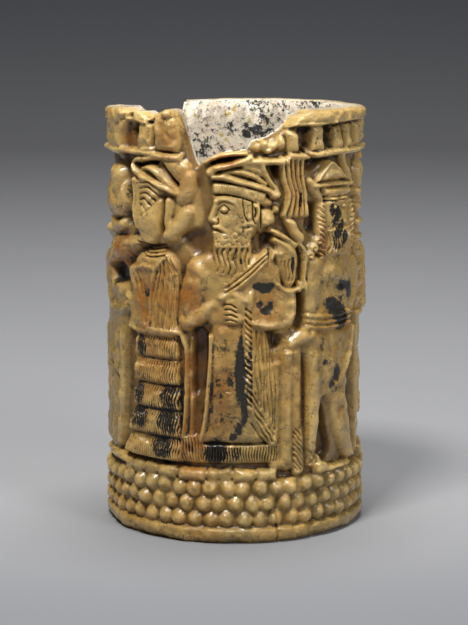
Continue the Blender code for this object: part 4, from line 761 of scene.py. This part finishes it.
def god_strokes(c, middle):
    """Eye, hair, beard, fist, cords and hems of the bearded figure."""
    c.stand(middle)
    comb(c, [(-15.2, 14.0), (19.2, 14.0), (19.2, 11.7), (-15.2, 11.7)], 0.42, 0.24, wave=0.12)
    for pitch, depth in ((0.78, 0.17), (0.27, 0.07)):
        comb(c, [(-9.3, 42.3), (6.6, 42.3), (6.4, 39.9), (4.6, 38.8), (-2, 38.3), (-8.2, 38.8), (-9.5, 40.5)], pitch,
             depth, wave=0.2)
    for i in range(8):
        curl(c, (-8.3 + 2.05 * i, 43.65 + 0.04 * i), 0.3, 0.12, 1 if i % 2 else -1)
        curl(c, (-7.3 + 2.05 * i, 42.85), 0.3, 0.12, -1 if i % 2 else 1)
    for line, width, depth in (
        ([(-7.2, 47.35), (-5.8, 47.95), (-4.4, 48.1), (-2.4, 47.5)], 0.09, 0.2),
        ([(-6.2, 47.2), (-4.5, 46.95), (-2.6, 47.4)], 0.09, 0.18),
        ([(-7.4, 48.2), (-4.6, 48.62), (-1.2, 48.2)], 0.1, 0.12),
        ([(-7.3, 46.2), (-7, 45.8), (-7.6, 45.5)], 0.12, 0.2),
        ([(-9.4, 44.75), (-7.4, 44.65), (-6, 44.4)], 0.1, 0.25),
        ([(-9.4, 49.5), (-3, 49.5), (4, 49), (9, 48.4)], 0.14, 0.2),
        ([(-9.6, 51.3), (0, 51), (8, 50.35), (14, 49.75)], 0.12, 0.18),
        ([(3.2, 48.9), (4, 46.8), (5.4, 45.9)], 0.1, 0.2), ([(7.4, 48.4), (7.7, 46.4), (8.6, 45.5)], 0.12, 0.3),
        ([(8.6, 47.7), (9.0, 47), (8.6, 46.5)], 0.12, 0.3),
        ([(11.3, 48), (10.9, 46.4), (11.2, 44.8)], 0.13, 0.3), ([(7, 17.4), (10.5, 15.6), (14, 14.3)], 0.1, 0.16),
    ):
        stroke(c, line, width, depth)
    strands(c, [(12.6, 47.6), (14.6, 47.6), (16.4, 46.4)], [(12.2, 44.4), (14.4, 43.9), (16, 44.6)], 5, 0.1, 0.06)
    comb(c, [(-9, 51), (0, 50.8), (12, 49.7), (12, 48.9), (4, 49.4), (-9, 49.9)], 0.36, 0.07, lean=8, wave=0.03)
    strands(c, [(-4.4, 34.3), (-2, 34.4), (0.4, 33.9)], [(-3.8, 32.1), (-1.6, 32.2), (0.8, 31.9)], 4, 0.11, 0.22)
    for side in (-0.5, 0.5):
        line = [(-4, 36.3 + 0.62 * side), (4, 38.2 + 0.8 * side), (13.5, 41 + 0.62 * side)]
        stroke(c, line, 0.12, 0.16)
    comb(c, [(4, 34), (7.4, 33.8), (7.5, 28), (7.7, 24), (7.6, 19.6), (4.6, 19.6), (4, 24)], 0.7, 0.2, lean=52,
         wave=0.0)
    comb(c, [(6, 21.6), (9, 22), (11.6, 19), (17.6, 16.4), (17.6, 14.5), (13.6, 14.5), (9, 17.6)], 0.58, 0.2, lean=34,
         wave=0.06)
    strands(c, [(9.2, 30.4), (9, 25), (10.2, 20.4)], [(16.6, 30.2), (17.4, 24), (18.4, 16.4)], 6, 0.16, 0.16, 0.16)


def hero_strokes(c, middle):
    """Locks, beard, curls and sandal of the frontal figure."""
    c.stand(middle)
    for side in (-1, 1):
        comb(c, [(side * 9.0, 47.6), (side * 12.4, 47.6), (side * 12.6, 40.2), (side * 8.8, 40.2)], 0.62, 0.26,
             lean=-60 * side, wave=0.05)
        for i in range(3):
            curl(c, (side * (12.6 + 2.3 * i), 42.4 - 0.95 * i), 0.62, 0.2, side)
        for bow in (0.38, -0.34):
            line = [(side * 1.9, 47.1), (side * 3.8, 47.1 + bow * 1.2), (side * 5.8, 47.1)]
            stroke(c, line, 0.08, 0.18)
    comb(c, [(-8.4, 43.9), (8.4, 43.9), (8.6, 40.5), (-8.6, 40.5)], 0.6, 0.22, wave=0.24)
    for i in range(8):
        curl(c, (-7.2 + 2.05 * i, 44.3), 0.34, 0.18, 1 if i % 2 else -1)
    strands(c, [(-9, 48.7), (0, 48.5), (9, 48.6)], [(-9, 48.1), (0, 48.0), (9, 48)], 2, 0.09, 0.2)
    for lean in (40, -40):
        comb(c, [(-19, 12.8), (-12.6, 12.8), (-12.2, 10.6), (-19, 10.5)], 0.95, 0.13, lean=lean, wave=0)


def stream_strokes(c, middle):
    """Hair, beard and frame of the small head, and the seams between the streams."""
    c.stand(middle)
    comb(c, [(-8.6, 44.3), (0, 42.9), (0, 42.2), (-8.6, 43.6)], 0.4, 0.12, lean=-20)
    comb(c, [(-5.8, 40.4), (0.8, 40.6), (1.2, 37.4), (-3, 37)], 0.55, 0.14, wave=0.1)
    strands(c, [(-3, 54), (-1.9, 51.7), (0.1, 49.2), (-1.9, 46.6)], [(4.6, 54), (4.7, 51.7), (6.2, 49.2), (6.4, 46.6)],
            4, 0.14, 0.2)


def post_strokes(c, middle):
    """The tassel's fringe."""
    c.stand(middle)
    comb(c, [(-0.6, 16.3), (2.8, 16.3), (5, 13), (4.9, 10), (-0.4, 10)], 0.52, 0.2, lean=38, wave=0.05)


def carve_strokes(c):
    """Adds the finer strokes of tools to the forms."""
    c.wander = 0.6 * grain(c, 1.3, 31) + 0.4 * grain(c, 0.6, 32)
    woman_strokes(c, -39)
    god_strokes(c, 0)
    god_strokes(c, 112)
    hero_strokes(c, 52)
    hero_strokes(c, -172)
    stream_strokes(c, 25)
    post_strokes(c, 27)
    c.level = np.clip(c.level, -0.3, 1.0)


def rough(turns, rises, seed):
    """A gentle, repeatable unevenness between -1 and 1."""
    t = np.radians(turns)
    total = 0
    for k, (a, b) in enumerate(((3, 0.31), (7, 0.9), (13, 1.7), (29, 2.6))):
        total = total + np.sin(a * t + b * rises + seed * (k + 1.3)) * 0.6 ** k
    return total / 2.2


def outer_radius(c, turns, rises):
    """The radius of the carved wall anywhere on it."""
    swell = BARREL_SWELL * (1 - ((rises - 30) / 30) ** 2)
    return BODY_RADIUS - BARREL_SWELL + swell - RELIEF_DEPTH * (1 - sample(c, c.level, turns, rises))


def rim_height(turns):
    """The height of the broken rim, in modules."""
    line = np.array(RIM_LINE)
    return np.interp((turns + 180) % 360 - 180, line[:, 0], line[:, 1]) + 0.12 * rough(turns, 0, 5)


def stone_rings(c):
    """All points of the stone as a grid: up the carved wall, over the rim, down the bore and under the foot."""
    turns = np.concatenate([np.arange(-180, -FRONT_HALF, BACK_STEP), np.arange(-FRONT_HALF, FRONT_HALF, FRONT_STEP),
                            np.arange(FRONT_HALF, 180, BACK_STEP)])
    shift = BACK_BREAK_SKEW * np.exp(-((turns - BACK_BREAK_AT) / 30) ** 2)
    rim, inside = rim_height(turns), rim_height(turns - shift)
    torn = 0.2 * np.clip((60 - rim) / 3, 0, 1)
    rim = rim + torn * (rough(turns * 2, 0, 2) + 0.5 * rough(turns * 9, 0, 4))
    # Wear has rounded the foot unevenly, to about twice the edge that the solid has
    bevel = EDGE_ROUNDING / MODULE * (2.2 + 0.9 * rough(turns * 3, 0, 6))
    for at, half, high in CHIPS:
        chip = high * np.sqrt(np.clip(1 - ((turns - at) / half) ** 2, 0, 1))
        bevel = np.maximum(bevel, chip * (1 + 0.25 * rough(turns * 6, 0, at)))
    tall = HEIGHT / MODULE
    floor = tall * RIM_FROM
    rings = []
    for share in np.linspace(0, 1, STEPS_UP):
        rise = np.full(len(turns), share * tall)
        rise = np.where(rise > floor, floor + (rise - floor) * (rim - floor) / (tall - floor), rise)
        radius = outer_radius(c, turns, rise)
        nick = np.clip(bevel - rise, 0, None) * MODULE
        lip = np.clip(rise - rim + 0.5, 0, 0.5) ** 2 * MODULE
        rings.append((radius - nick - lip, rise * MODULE))
    outer = rings[-1][0]
    bore = BORE_RADIUS + BORE_UNEVEN * rough(turns, 20, 3)
    for share in np.linspace(0, 1, STEPS_RIM)[1:-1]:
        dip = torn * (rough(turns * 2, 0, 7 + share) - 0.5) + 0.5 * torn * rough(turns * 11, 30 * share, 3)
        rings.append((outer + (bore - outer) * share, (rim + (inside - rim) * share + dip) * MODULE))
    for share in np.linspace(1, 0, STEPS_BORE):
        wall = BORE_RADIUS + BORE_UNEVEN * rough(turns, 20 * share, 3)
        rings.append((wall, inside * MODULE * share))
    outer = rings[0][0]
    for share in np.linspace(0, 1, STEPS_FOOT)[1:-1]:
        rings.append((wall + (outer - wall) * share, np.zeros(len(turns))))
    angle = np.radians(turns)
    points = [np.stack([r * np.sin(angle), -r * np.cos(angle), np.broadcast_to(z, r.shape)], -1) for r, z in rings]
    return np.array(points)


def grid_mesh(points):
    """Joins rings of points into one closed skin of quads."""
    count, around = points.shape[:2]
    index = np.arange(count * around, dtype=np.int32).reshape(count, around)
    up = np.roll(index, -1, 0)
    quads = np.stack([index, np.roll(index, -1, 1), np.roll(up, -1, 1), up], -1).reshape(-1, 4)
    mesh = bpy.data.meshes.new("seal_stone")
    mesh.vertices.add(count * around)
    mesh.vertices.foreach_set("co", points.astype(np.float32).ravel())
    mesh.loops.add(quads.size)
    mesh.loops.foreach_set("vertex_index", quads.ravel())
    mesh.polygons.add(len(quads))
    mesh.polygons.foreach_set("loop_start", np.arange(0, quads.size, 4, dtype=np.int32))
    mesh.update(calc_edges=True)
    return mesh


def blurred(level, reach):
    """The raster smoothed by a running mean that wraps round the stone; reach is in cells."""
    for _ in range(2):
        for axis, mode in ((0, "edge"), (1, "wrap")):
            pad = [(0, 0), (0, 0)]
            pad[axis] = (reach + 1, reach)
            total = np.cumsum(np.pad(level, pad, mode=mode), axis=axis)
            top = np.take(total, range(2 * reach + 1, total.shape[axis]), axis=axis)
            low = np.take(total, range(0, total.shape[axis] - 2 * reach - 1), axis=axis)
            level = (top - low) / (2 * reach + 1)
    return level


def patches(c, spots, soft):
    """How strongly a set of oval patches covers each cell: azimuth, height, half width, half height, strength."""
    cover = np.zeros_like(c.level)
    T, Z = np.meshgrid(c.turns, c.rises)
    for at, rise, wide, tall, strength in spots:
        k = np.hypot(((T - at + 180) % 360 - 180) / wide, (Z - rise) / tall)
        cover = np.maximum(cover, strength * np.clip((1.0 + soft - k) / (2 * soft), 0, 1))
    return cover



def mark(mesh, name, values):
    """Stores one number a point for the material to read."""
    mesh.attributes.new(name, "FLOAT", "POINT").data.foreach_set("value", np.ascontiguousarray(values, np.float32))


def mark_surface(mesh, c):
    """Works out, point by point, what the material needs to know: hollows, stains, residue and the raw inside."""
    p = np.empty(len(mesh.vertices) * 3, np.float32)
    mesh.vertices.foreach_get("co", p)
    x, y, z = p.reshape(-1, 3).T.astype(float)
    turns = np.degrees(np.arctan2(x, -y))
    rises = z / MODULE
    radius = np.hypot(x, y)
    inside = np.clip((BORE_RADIUS + RAW_BY_BORE - radius) / RAW_BY_BORE_EDGE, 0, 1)
    torn = np.clip((outer_radius(c, turns, rises) - radius - RAW_IN_BREAK) / RAW_IN_BREAK_EDGE, 0, 1)
    near_rim = np.clip((rises - rim_height(turns) + 1.4) / 0.5, 0, 1) * np.clip((np.abs(turns) - 60) / 20, 0, 1)
    mark(mesh, "raw", np.maximum(inside, torn * near_rim) * (z > FOOT_CLEAR))
    rasters = {
        "crease": blurred(c.level, CREASE_REACH) - c.level,
        "hollow": blurred(c.level, HOLLOW_REACH) - c.level,
        "deep": 1 - np.clip(blurred(c.level, DEEP_REACH), 0, 1),
        "stain": patches(c, STAINS, 0.5),
        "residue": patches(c, RESIDUES, 0.3),
    }
    for name, raster in rasters.items():
        mark(mesh, name, sample(c, raster, turns, rises))


def linear(code):
    """Turns an sRGB hex colour into linear values with alpha."""
    parts = [int(code[i:i + 2], 16) / 255 for i in (1, 3, 5)]
    return (*(v / 12.92 if v <= 0.04045 else ((v + 0.055) / 1.055) ** 2.4 for v in parts), 1)


def node(tree, kind, settings=None, links=None):
    """Adds a node, gives it its settings, which are properties or input values, and links its other inputs."""
    made = tree.nodes.new(kind)
    for name, value in (settings or {}).items():
        if isinstance(name, str) and hasattr(made, name):
            setattr(made, name, value)
        else:
            made.inputs[name].default_value = value
    for name, source in (links or {}).items():
        tree.links.new(source, made.inputs[name])
    return made


def carved_honey_calcite(colours):
    """Honey calcite, carved and long handled."""
    # The real stone is waxy and lets a little light in. It is cloudy cream and honey, stained by iron and blotched with
    # an old dark residue. Light and shade are also painted into the colour: brown painted shade in the cuts, broad
    # hollows and deepest ground, a duller olive towards the bottom, a paler top, and paler heights that are partly wear
    # and partly painted highlight. The unworn bore is chalky and pitted.
    mat = bpy.data.materials.new("carved_honey_calcite")
    mat.use_nodes = True
    tree = mat.node_tree
    skin = tree.nodes["Principled BSDF"]
    place = node(tree, "ShaderNodeTexCoord").outputs["Object"]
    value = {name: node(tree, "ShaderNodeAttribute", {"attribute_name": name}).outputs["Fac"]
             for name in ("crease", "hollow", "deep", "stain", "residue", "raw")}
    value["rise"] = node(tree, "ShaderNodeSeparateXYZ", {}, {"Vector": place}).outputs["Z"]
    # Sizes of the lumps in millimetres: clouds of 8 and 2.4, grains of calcite 0.3 to 0.5, no finer than shows
    for name, size, detail, rough_share in (
        ("clouds", 8.0, 3, 0.5), ("dull", 11.0, 5, 0.6), ("wisps", 2.4, 6, 0.62), ("grains", 0.5, 3, 0.6),
        ("blots", 1.7, 8, 0.7), ("flecks", 0.42, 3, 0.7), ("rusting", 2.6, 6, 0.65), ("polish", 0.9, 5, 0.6),
        ("tooth", 0.3, 3, 0.6), ("ripple", 1.1, 6, 0.68), ("veins", 4.5, 4, 0.55), ("mottle", 6.0, 8, 0.72),
        ("pits", 0.75, 6, 0.75), ("spots", 1.3, 3, 0.6), ("blush", 2.8, 4, 0.6),
    ):
        value[name] = node(tree, "ShaderNodeTexNoise", {"Scale": 1000 / size, "Detail": detail,
                                                        "Roughness": rough_share}, {"Vector": place}).outputs["Fac"]
    # Sums and smooth steps, worked out in this order: a name stands for an earlier value
    for name, kind, *terms in (
        ("dull_share", "step", "dull", 0.42, 0.6), ("dull_share", "MULTIPLY", "dull_share", 0.5),
        # Painted highlight: a paler colour laid over the upper part of the stone, stronger with height and patchy with
        # the wisps
        ("painted_top_light", "step", "rise", 0.026, 0.054), ("painted_top_light", "MULTIPLY", "painted_top_light", "wisps"),
        ("painted_top_light", "MULTIPLY", "painted_top_light", 0.85), ("painted_low_shade", "step", "rise", 0.036, 0.012),
        # Painted shade: the duller olive is laid more heavily towards the bottom of the stone
        ("dull_share", "MULTIPLY_ADD", "painted_low_shade", 0.22, "dull_share"), ("honey_share", "step", "clouds", 0.36, 0.62),
        # Painted shade in the cuts and creases, in umber
        ("cream_share", "step", "wisps", 0.46, 0.7), ("crease_share", "step", "crease", 0.015, 0.13),
        # Painted shade on the deepest ground, in brown
        ("hollow_share", "step", "hollow", 0.0, 0.3), ("deep_share", "step", "deep", 0.4, 0.95),
        # Painted shade in the broad hollows: tan, made patchy by the wisps
        ("worn_and_highlight_share", "step", "hollow", -0.04, -0.24), ("hollow_shade_variation", "MULTIPLY_ADD", "wisps", 0.9, 0.5),
        ("painted_hollow_shade", "MULTIPLY", "hollow_share", "hollow_shade_variation"), ("painted_hollow_shade", "MULTIPLY", "painted_hollow_shade", 0.8),
        ("painted_crease_shade", "MULTIPLY", "crease_share", 0.6), ("painted_deep_shade", "MULTIPLY", "deep_share", 0.72),
        # The pale of the heights is partly wear and partly painted highlight
        ("worn", "MULTIPLY", "worn_and_highlight_share", 0.6), ("rust_share", "step", "rusting", 0.34, 0.56),
        ("rust", "MULTIPLY", "rust_share", "stain"), ("rust", "MULTIPLY", "rust", 0.85),
        ("specks", "step", "grains", 0.64, 0.7), ("speckled", "MULTIPLY", "specks", 0.55),
        ("vein", "SUBTRACT", "veins", 0.5), ("vein", "ABSOLUTE", "vein"), ("vein", "step", "vein", 0.009, 0.002),
        ("vein_share", "step", "wisps", 0.42, 0.56), ("vein", "MULTIPLY", "vein", "vein_share"),
        ("vein_line", "MULTIPLY", "vein", 0.5), ("ragged", "SUBTRACT", "blots", 0.5),
        ("broken", "SUBTRACT", "flecks", 0.5), ("ragged", "MULTIPLY", "ragged", 3.4),
        ("ragged", "MULTIPLY_ADD", "broken", 2.4, "ragged"), ("ragged", "MULTIPLY_ADD", "crease", 7.0, "ragged"),
        ("ragged", "MULTIPLY_ADD", "residue", 1.75, "ragged"), ("crust", "step", "ragged", 1.1, 1.22),
        ("crusted", "MULTIPLY", "crust", 0.96), ("halo", "step", "ragged", 0.5, 1.15),
        ("halo", "MULTIPLY", "halo", 0.6), ("mottled", "step", "mottle", 0.5, 0.66),
        ("mottled", "MULTIPLY", "mottled", 0.7), ("pitted", "step", "pits", 0.52, 0.6),
        ("black", "MULTIPLY_ADD", "mottle", 1.7, "pits"), ("black", "step", "black", 1.44, 1.54),
        ("yellow", "step", "spots", 0.6, 0.66), ("blushed", "step", "blush", 0.5, 0.7),
        ("blushed", "MULTIPLY", "blushed", 0.5), ("pitted", "MULTIPLY", "pitted", 0.75),
        ("gloss", "MULTIPLY_ADD", "polish", 0.55, 0.0), ("gloss", "MULTIPLY_ADD", "crust", 0.15, "gloss"),
        ("gloss", "MULTIPLY_ADD", "raw", 0.45, "gloss"), ("gloss", "MULTIPLY_ADD", "deep_share", 0.12, "gloss"),
        ("relief", "MULTIPLY_ADD", "tooth", 0.14, "ripple"), ("relief", "MULTIPLY_ADD", "specks", -0.25, "relief"),
        ("relief", "MULTIPLY_ADD", "vein", -0.35, "relief"), ("roughened", "MULTIPLY", "pits", "raw"),
        ("relief", "MULTIPLY_ADD", "roughened", 2.4, "relief"), ("crust_relief", "MULTIPLY", "crust", "flecks"),
        ("relief", "MULTIPLY_ADD", "crust_relief", 0.5, "relief"),
    ):
        links = {i: value[term] for i, term in enumerate(terms) if isinstance(term, str)}
        if kind == "step":
            made = node(tree, "ShaderNodeMapRange", {"interpolation_type": "SMOOTHSTEP", "From Min": terms[1],
                                                     "From Max": terms[2]}, links)
        else:
            numbers = {i: term for i, term in enumerate(terms) if not isinstance(term, str)}
            made = node(tree, "ShaderNodeMath", {"operation": kind, **numbers}, links)
        value[name] = made.outputs[0]
    # Colours laid one over the other: the share of each and its colour
    coats = {}
    for coat, base, layers in (
        ("outside", colours.honey, (
            ("honey_share", colours.cream), ("dull_share", colours.olive), ("cream_share", colours.pale),
            # Painted light among these layers: the paler top and the pale heights are painted highlight, the heights
            # partly also wear; the tan in the broad hollows is painted shade
            ("painted_top_light", colours.bright), ("painted_hollow_shade", colours.tan), ("worn", colours.bright),
            # Painted shade: brown on the deepest ground and umber in the cuts; the umber also draws the stone's veins
            # and the halos round the residue
            ("rust", colours.rust), ("painted_deep_shade", colours.brown), ("painted_crease_shade", colours.umber),
            ("speckled", colours.speck), ("vein_line", colours.umber), ("halo", colours.umber),
            ("crusted", colours.residue))),
        ("inside", colours.chalk, (
            ("blushed", colours.pink), ("mottled", colours.ash), ("yellow", colours.straw), ("pitted", colours.grit),
            ("black", colours.soot))),
    ):
        under, links = {MIX_UNDER: linear(base)}, {}
        for share, shade in layers:
            mixed = node(tree, "ShaderNodeMix", {"data_type": "RGBA", MIX_OVER: linear(shade), **under},
                         {0: value[share], **links})
            under, links = {}, {MIX_UNDER: mixed.outputs[MIX_RESULT]}
        coats[coat] = mixed.outputs[MIX_RESULT]
    body = node(tree, "ShaderNodeMix", {"data_type": "RGBA"},
                {0: value["raw"], MIX_UNDER: coats["outside"], MIX_OVER: coats["inside"]})
    tree.links.new(body.outputs[MIX_RESULT], skin.inputs["Base Color"])
    tree.links.new(value["gloss"], skin.inputs["Roughness"])
    # Pits and tool marks a few hundredths of a millimetre deep catch the light as sparkle
    bump = node(tree, "ShaderNodeBump", {"Strength": 0.9, "Distance": 0.0002}, {"Height": value["relief"]})
    tree.links.new(bump.outputs["Normal"], skin.inputs["Normal"])
    for name, amount in (("IOR", 1.52), ("Coat Weight", 0.42), ("Coat Roughness", 0.15), ("Subsurface Weight", 0.35),
                         ("Subsurface Radius", (1.0, 0.5, 0.18)), ("Subsurface Scale", 0.0006)):
        skin.inputs[name].default_value = amount
    return mat


class SealStone(bpy.types.PropertyGroup):
    """Sizes and colours of the stone."""
    triangles: IntProperty(name="Triangles", description="Most triangles that the carved stone may have",
                           default=190000, min=20000, max=199000)
    honey: StringProperty(name="Honey", description="Main colour, sRGB hex", default="#A8803A")
    # Olive also carries painted shade, laid more heavily towards the bottom of the stone
    olive: StringProperty(name="Olive", description="Broad duller clouds, sRGB hex", default="#8E7D4E")
    cream: StringProperty(name="Cream", description="Broad paler clouds in the stone, sRGB hex", default="#C09B56")
    pale: StringProperty(name="Pale", description="Small pale wisps, sRGB hex", default="#D3AE66")
    # Bright is the pale of the worn heights, partly wear and partly painted highlight, and the painted highlight on the
    # upper part of the stone
    bright: StringProperty(name="Bright", description="Worn heights, sRGB hex", default="#E8C985")
    # Tan is painted shade in the broad hollows
    tan: StringProperty(name="Tan", description="Dirt in the broad hollows, sRGB hex", default="#785422")
    # Brown is painted shade on the deepest ground
    brown: StringProperty(name="Brown", description="The deepest ground, sRGB hex", default="#4A2F10")
    # Umber is painted shade in the cuts, and also the colour of the stone's dark veins and of the halos round the
    # residue
    umber: StringProperty(name="Umber", description="Dirt in the cuts and cracks, sRGB hex", default="#38240D")
    rust: StringProperty(name="Rust", description="Iron stain, sRGB hex", default="#A2601B")
    speck: StringProperty(name="Speck", description="Fine dark specks, sRGB hex", default="#4E3A1C")
    residue: StringProperty(name="Residue", description="Old dark residue, sRGB hex", default="#16150F")
    chalk: StringProperty(name="Chalk", description="Raw inside, sRGB hex", default="#F2E8D6")
    pink: StringProperty(name="Pink", description="Warm patches of the raw inside, sRGB hex", default="#DFC0AC")
    ash: StringProperty(name="Ash", description="Grey mottling of the raw inside, sRGB hex", default="#9C9A95")
    straw: StringProperty(name="Straw", description="Yellow spots of the raw inside, sRGB hex", default="#CDB76C")
    grit: StringProperty(name="Grit", description="Brown-grey pits of the raw inside, sRGB hex", default="#6A6052")
    soot: StringProperty(name="Soot", description="Blackest pits of the raw inside, sRGB hex", default="#26282A")


class SealStage(bpy.types.PropertyGroup):
    """Floor, lights and camera."""
    floor: StringProperty(name="Floor", description="Colour of the plain floor, sRGB hex", default="#96989D")
    # Sweep and near are darker than the floor: painted shade, the backdrop falling off towards its top and the floor
    # towards its near edge
    sweep: StringProperty(name="Sweep", description="Colour of the backdrop's far end, sRGB hex", default="#6A6E76")
    near: StringProperty(name="Near", description="Colour of the floor's near edge, sRGB hex", default="#7C7F85")
    distance: FloatProperty(name="Camera distance", description="Level distance from the axis to the camera",
                            default=0.3132, unit="LENGTH")
    height: FloatProperty(name="Camera height", description="Height of the camera above the floor", default=0.0852,
                          unit="LENGTH")
    pitch: FloatProperty(name="Camera pitch", description="How far the camera looks down", default=math.radians(10.01),
                         subtype="ANGLE")
    lens: FloatProperty(name="Lens", description="Focal length on a sensor 36 mm tall", default=36 * 2161 / 625)


class SEAL_OT_carve_stone(bpy.types.Operator):
    """Carve the stone: wall, figures, strokes, breaks and finish"""
    bl_idname = "seal.carve_stone"
    bl_label = "Carve the stone"

    def execute(self, context):
        settings = context.scene.seal_stone
        c = Carving(CELLS_PER_MODULE)
        carve(c)
        carve_strokes(c)
        mesh = grid_mesh(stone_rings(c))
        stone = bpy.data.objects.new("seal_stone", mesh)
        context.scene.collection.objects.link(stone)

        thin = stone.modifiers.new("fewer faces", "DECIMATE")
        thin.ratio = settings.triangles / (2 * len(mesh.polygons))
        context.view_layer.update()
        done = bpy.data.meshes.new_from_object(stone.evaluated_get(context.evaluated_depsgraph_get()))
        stone.modifiers.clear()
        stone.data = done
        bpy.data.meshes.remove(mesh)
        done.name = "seal_stone"
        done.shade_smooth()
        mark_surface(done, c)
        done.materials.clear()
        done.materials.append(carved_honey_calcite(settings))
        print("seal_stone triangles", sum(len(f.vertices) - 2 for f in done.polygons))
        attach(stone, "root")
        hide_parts("seal_body")
        return {"FINISHED"}


class SEAL_OT_set_stage(bpy.types.Operator):
    """Set the plain floor, the soft lights and the camera"""
    bl_idname = "seal.set_stage"
    bl_label = "Set the stage"

    def execute(self, context):
        settings = context.scene.seal_stage
        scene = context.scene
        mesh = bpy.data.meshes.new("floor")
        front, depth, rise, bend, side = -1.2, 0.55, 1.6, 0.35, 2.0
        profile = [(front, 0.0), (depth, 0.0)]
        profile += [(depth + bend * math.sin(a), bend * (1 - math.cos(a))) for a in np.linspace(0, math.pi / 2, 14)[1:]]
        profile += [(depth + bend, rise)]
        points = [(x, y, z) for y, z in profile for x in (-side, side)]
        faces = [(2 * i, 2 * i + 1, 2 * i + 3, 2 * i + 2) for i in range(len(profile) - 1)]
        mesh.from_pydata(points, [], faces)
        mesh.shade_smooth()
        floor = bpy.data.objects.new("floor", mesh)
        scene.collection.objects.link(floor)
        # Backdrop paper, matt, with painted falloff: pale where the object stands, painted shade darker at the floor's
        # near edge and up its sweep, so the object stands out
        paper = bpy.data.materials.new("backdrop_paper_with_painted_falloff")
        paper.use_nodes = True
        tree = paper.node_tree
        skin = tree.nodes["Principled BSDF"]
        place = node(tree, "ShaderNodeSeparateXYZ", {}, {"Vector": node(tree, "ShaderNodeTexCoord").outputs["Object"]})
        under, links = {MIX_UNDER: linear(settings.near)}, {}
        # Painted shade: darker at the near edge, paler where the object stands, darker again up the sweep
        for start, end, beyond in ((-0.06, 0.01, settings.floor), (0.57, 0.80, settings.sweep)):
            share = node(tree, "ShaderNodeMapRange", {"interpolation_type": "SMOOTHSTEP", "From Min": start,
                                                      "From Max": end}, {"Value": place.outputs["Y"]})
            shade = node(tree, "ShaderNodeMix", {"data_type": "RGBA", MIX_OVER: linear(beyond), **under},
                         {0: share.outputs["Result"], **links})
            under, links = {}, {MIX_UNDER: shade.outputs[MIX_RESULT]}
        tree.links.new(shade.outputs[MIX_RESULT], skin.inputs["Base Color"])
        skin.inputs["Roughness"].default_value = 0.9
        mesh.materials.append(paper)

        for name, place, size, power, colour in (
            ("key", (-0.11, -0.23, 0.48), 0.11, 2.4, (1.0, 0.965, 0.91)),
            ("fill", (0.28, -0.32, 0.30), 0.14, 0.75, (1.0, 0.98, 0.96)),
            ("top", (0.02, 0.04, 0.46), 0.18, 1.5, (1, 0.98, 0.95)),
        ):
            light = bpy.data.lights.new(name, "AREA")
            light.size = size
            light.energy = power
            light.color = colour
            lamp = bpy.data.objects.new(name, light)
            lamp.location = place
            lamp.rotation_euler = (Vector((0, 0, 0.03)) - Vector(place)).to_track_quat("-Z", "Y").to_euler()
            scene.collection.objects.link(lamp)
        world = bpy.data.worlds.new("studio")
        world.use_nodes = True
        world.node_tree.nodes["Background"].inputs["Color"].default_value = (0.95, 0.96, 1.0, 1)
        world.node_tree.nodes["Background"].inputs["Strength"].default_value = 0.045
        scene.world = world
        scene.view_settings.view_transform = "Standard"

        camera = bpy.data.objects.new("camera", bpy.data.cameras.new("camera"))
        camera.data.sensor_fit = "VERTICAL"
        camera.data.sensor_height = 36
        camera.data.lens = settings.lens
        camera.data.clip_start = 0.01
        camera.location = (0, -settings.distance, settings.height)
        camera.rotation_euler = (math.pi / 2 - settings.pitch, 0, 0)
        camera.data.shift_x = -1 / 625
        scene.collection.objects.link(camera)
        scene.camera = camera
        return {"FINISHED"}


class SEAL_PT_panel(bpy.types.Panel):
    """The seal's pieces and stage, in the order in which they are made"""
    bl_label = "Carved Cylinder Seal"
    bl_idname = "SEAL_PT_panel"
    bl_space_type = "VIEW_3D"
    bl_region_type = "UI"
    bl_category = "Seal"

    def draw(self, context):
        for title, group, operator in (
            ("Stone", context.scene.seal_stone, SEAL_OT_carve_stone),
            ("Stage", context.scene.seal_stage, SEAL_OT_set_stage),
        ):
            part = self.layout.box()
            part.label(text=title)
            for name in group.__annotations__:
                part.prop(group, name)
            part.operator(operator.bl_idname)


CLASSES = (SealStone, SealStage, SEAL_OT_carve_stone, SEAL_OT_set_stage, SEAL_PT_panel)


def register():
    for cls in CLASSES:
        bpy.utils.register_class(cls)
    bpy.types.Scene.seal_stone = PointerProperty(type=SealStone)
    bpy.types.Scene.seal_stage = PointerProperty(type=SealStage)


def unregister():
    del bpy.types.Scene.seal_stage
    del bpy.types.Scene.seal_stone
    for cls in reversed(CLASSES):
        bpy.utils.unregister_class(cls)


def main():
    register()
    bpy.ops.seal.carve_stone()
    bpy.ops.seal.set_stage()


if __name__ == "__main__":
    main()
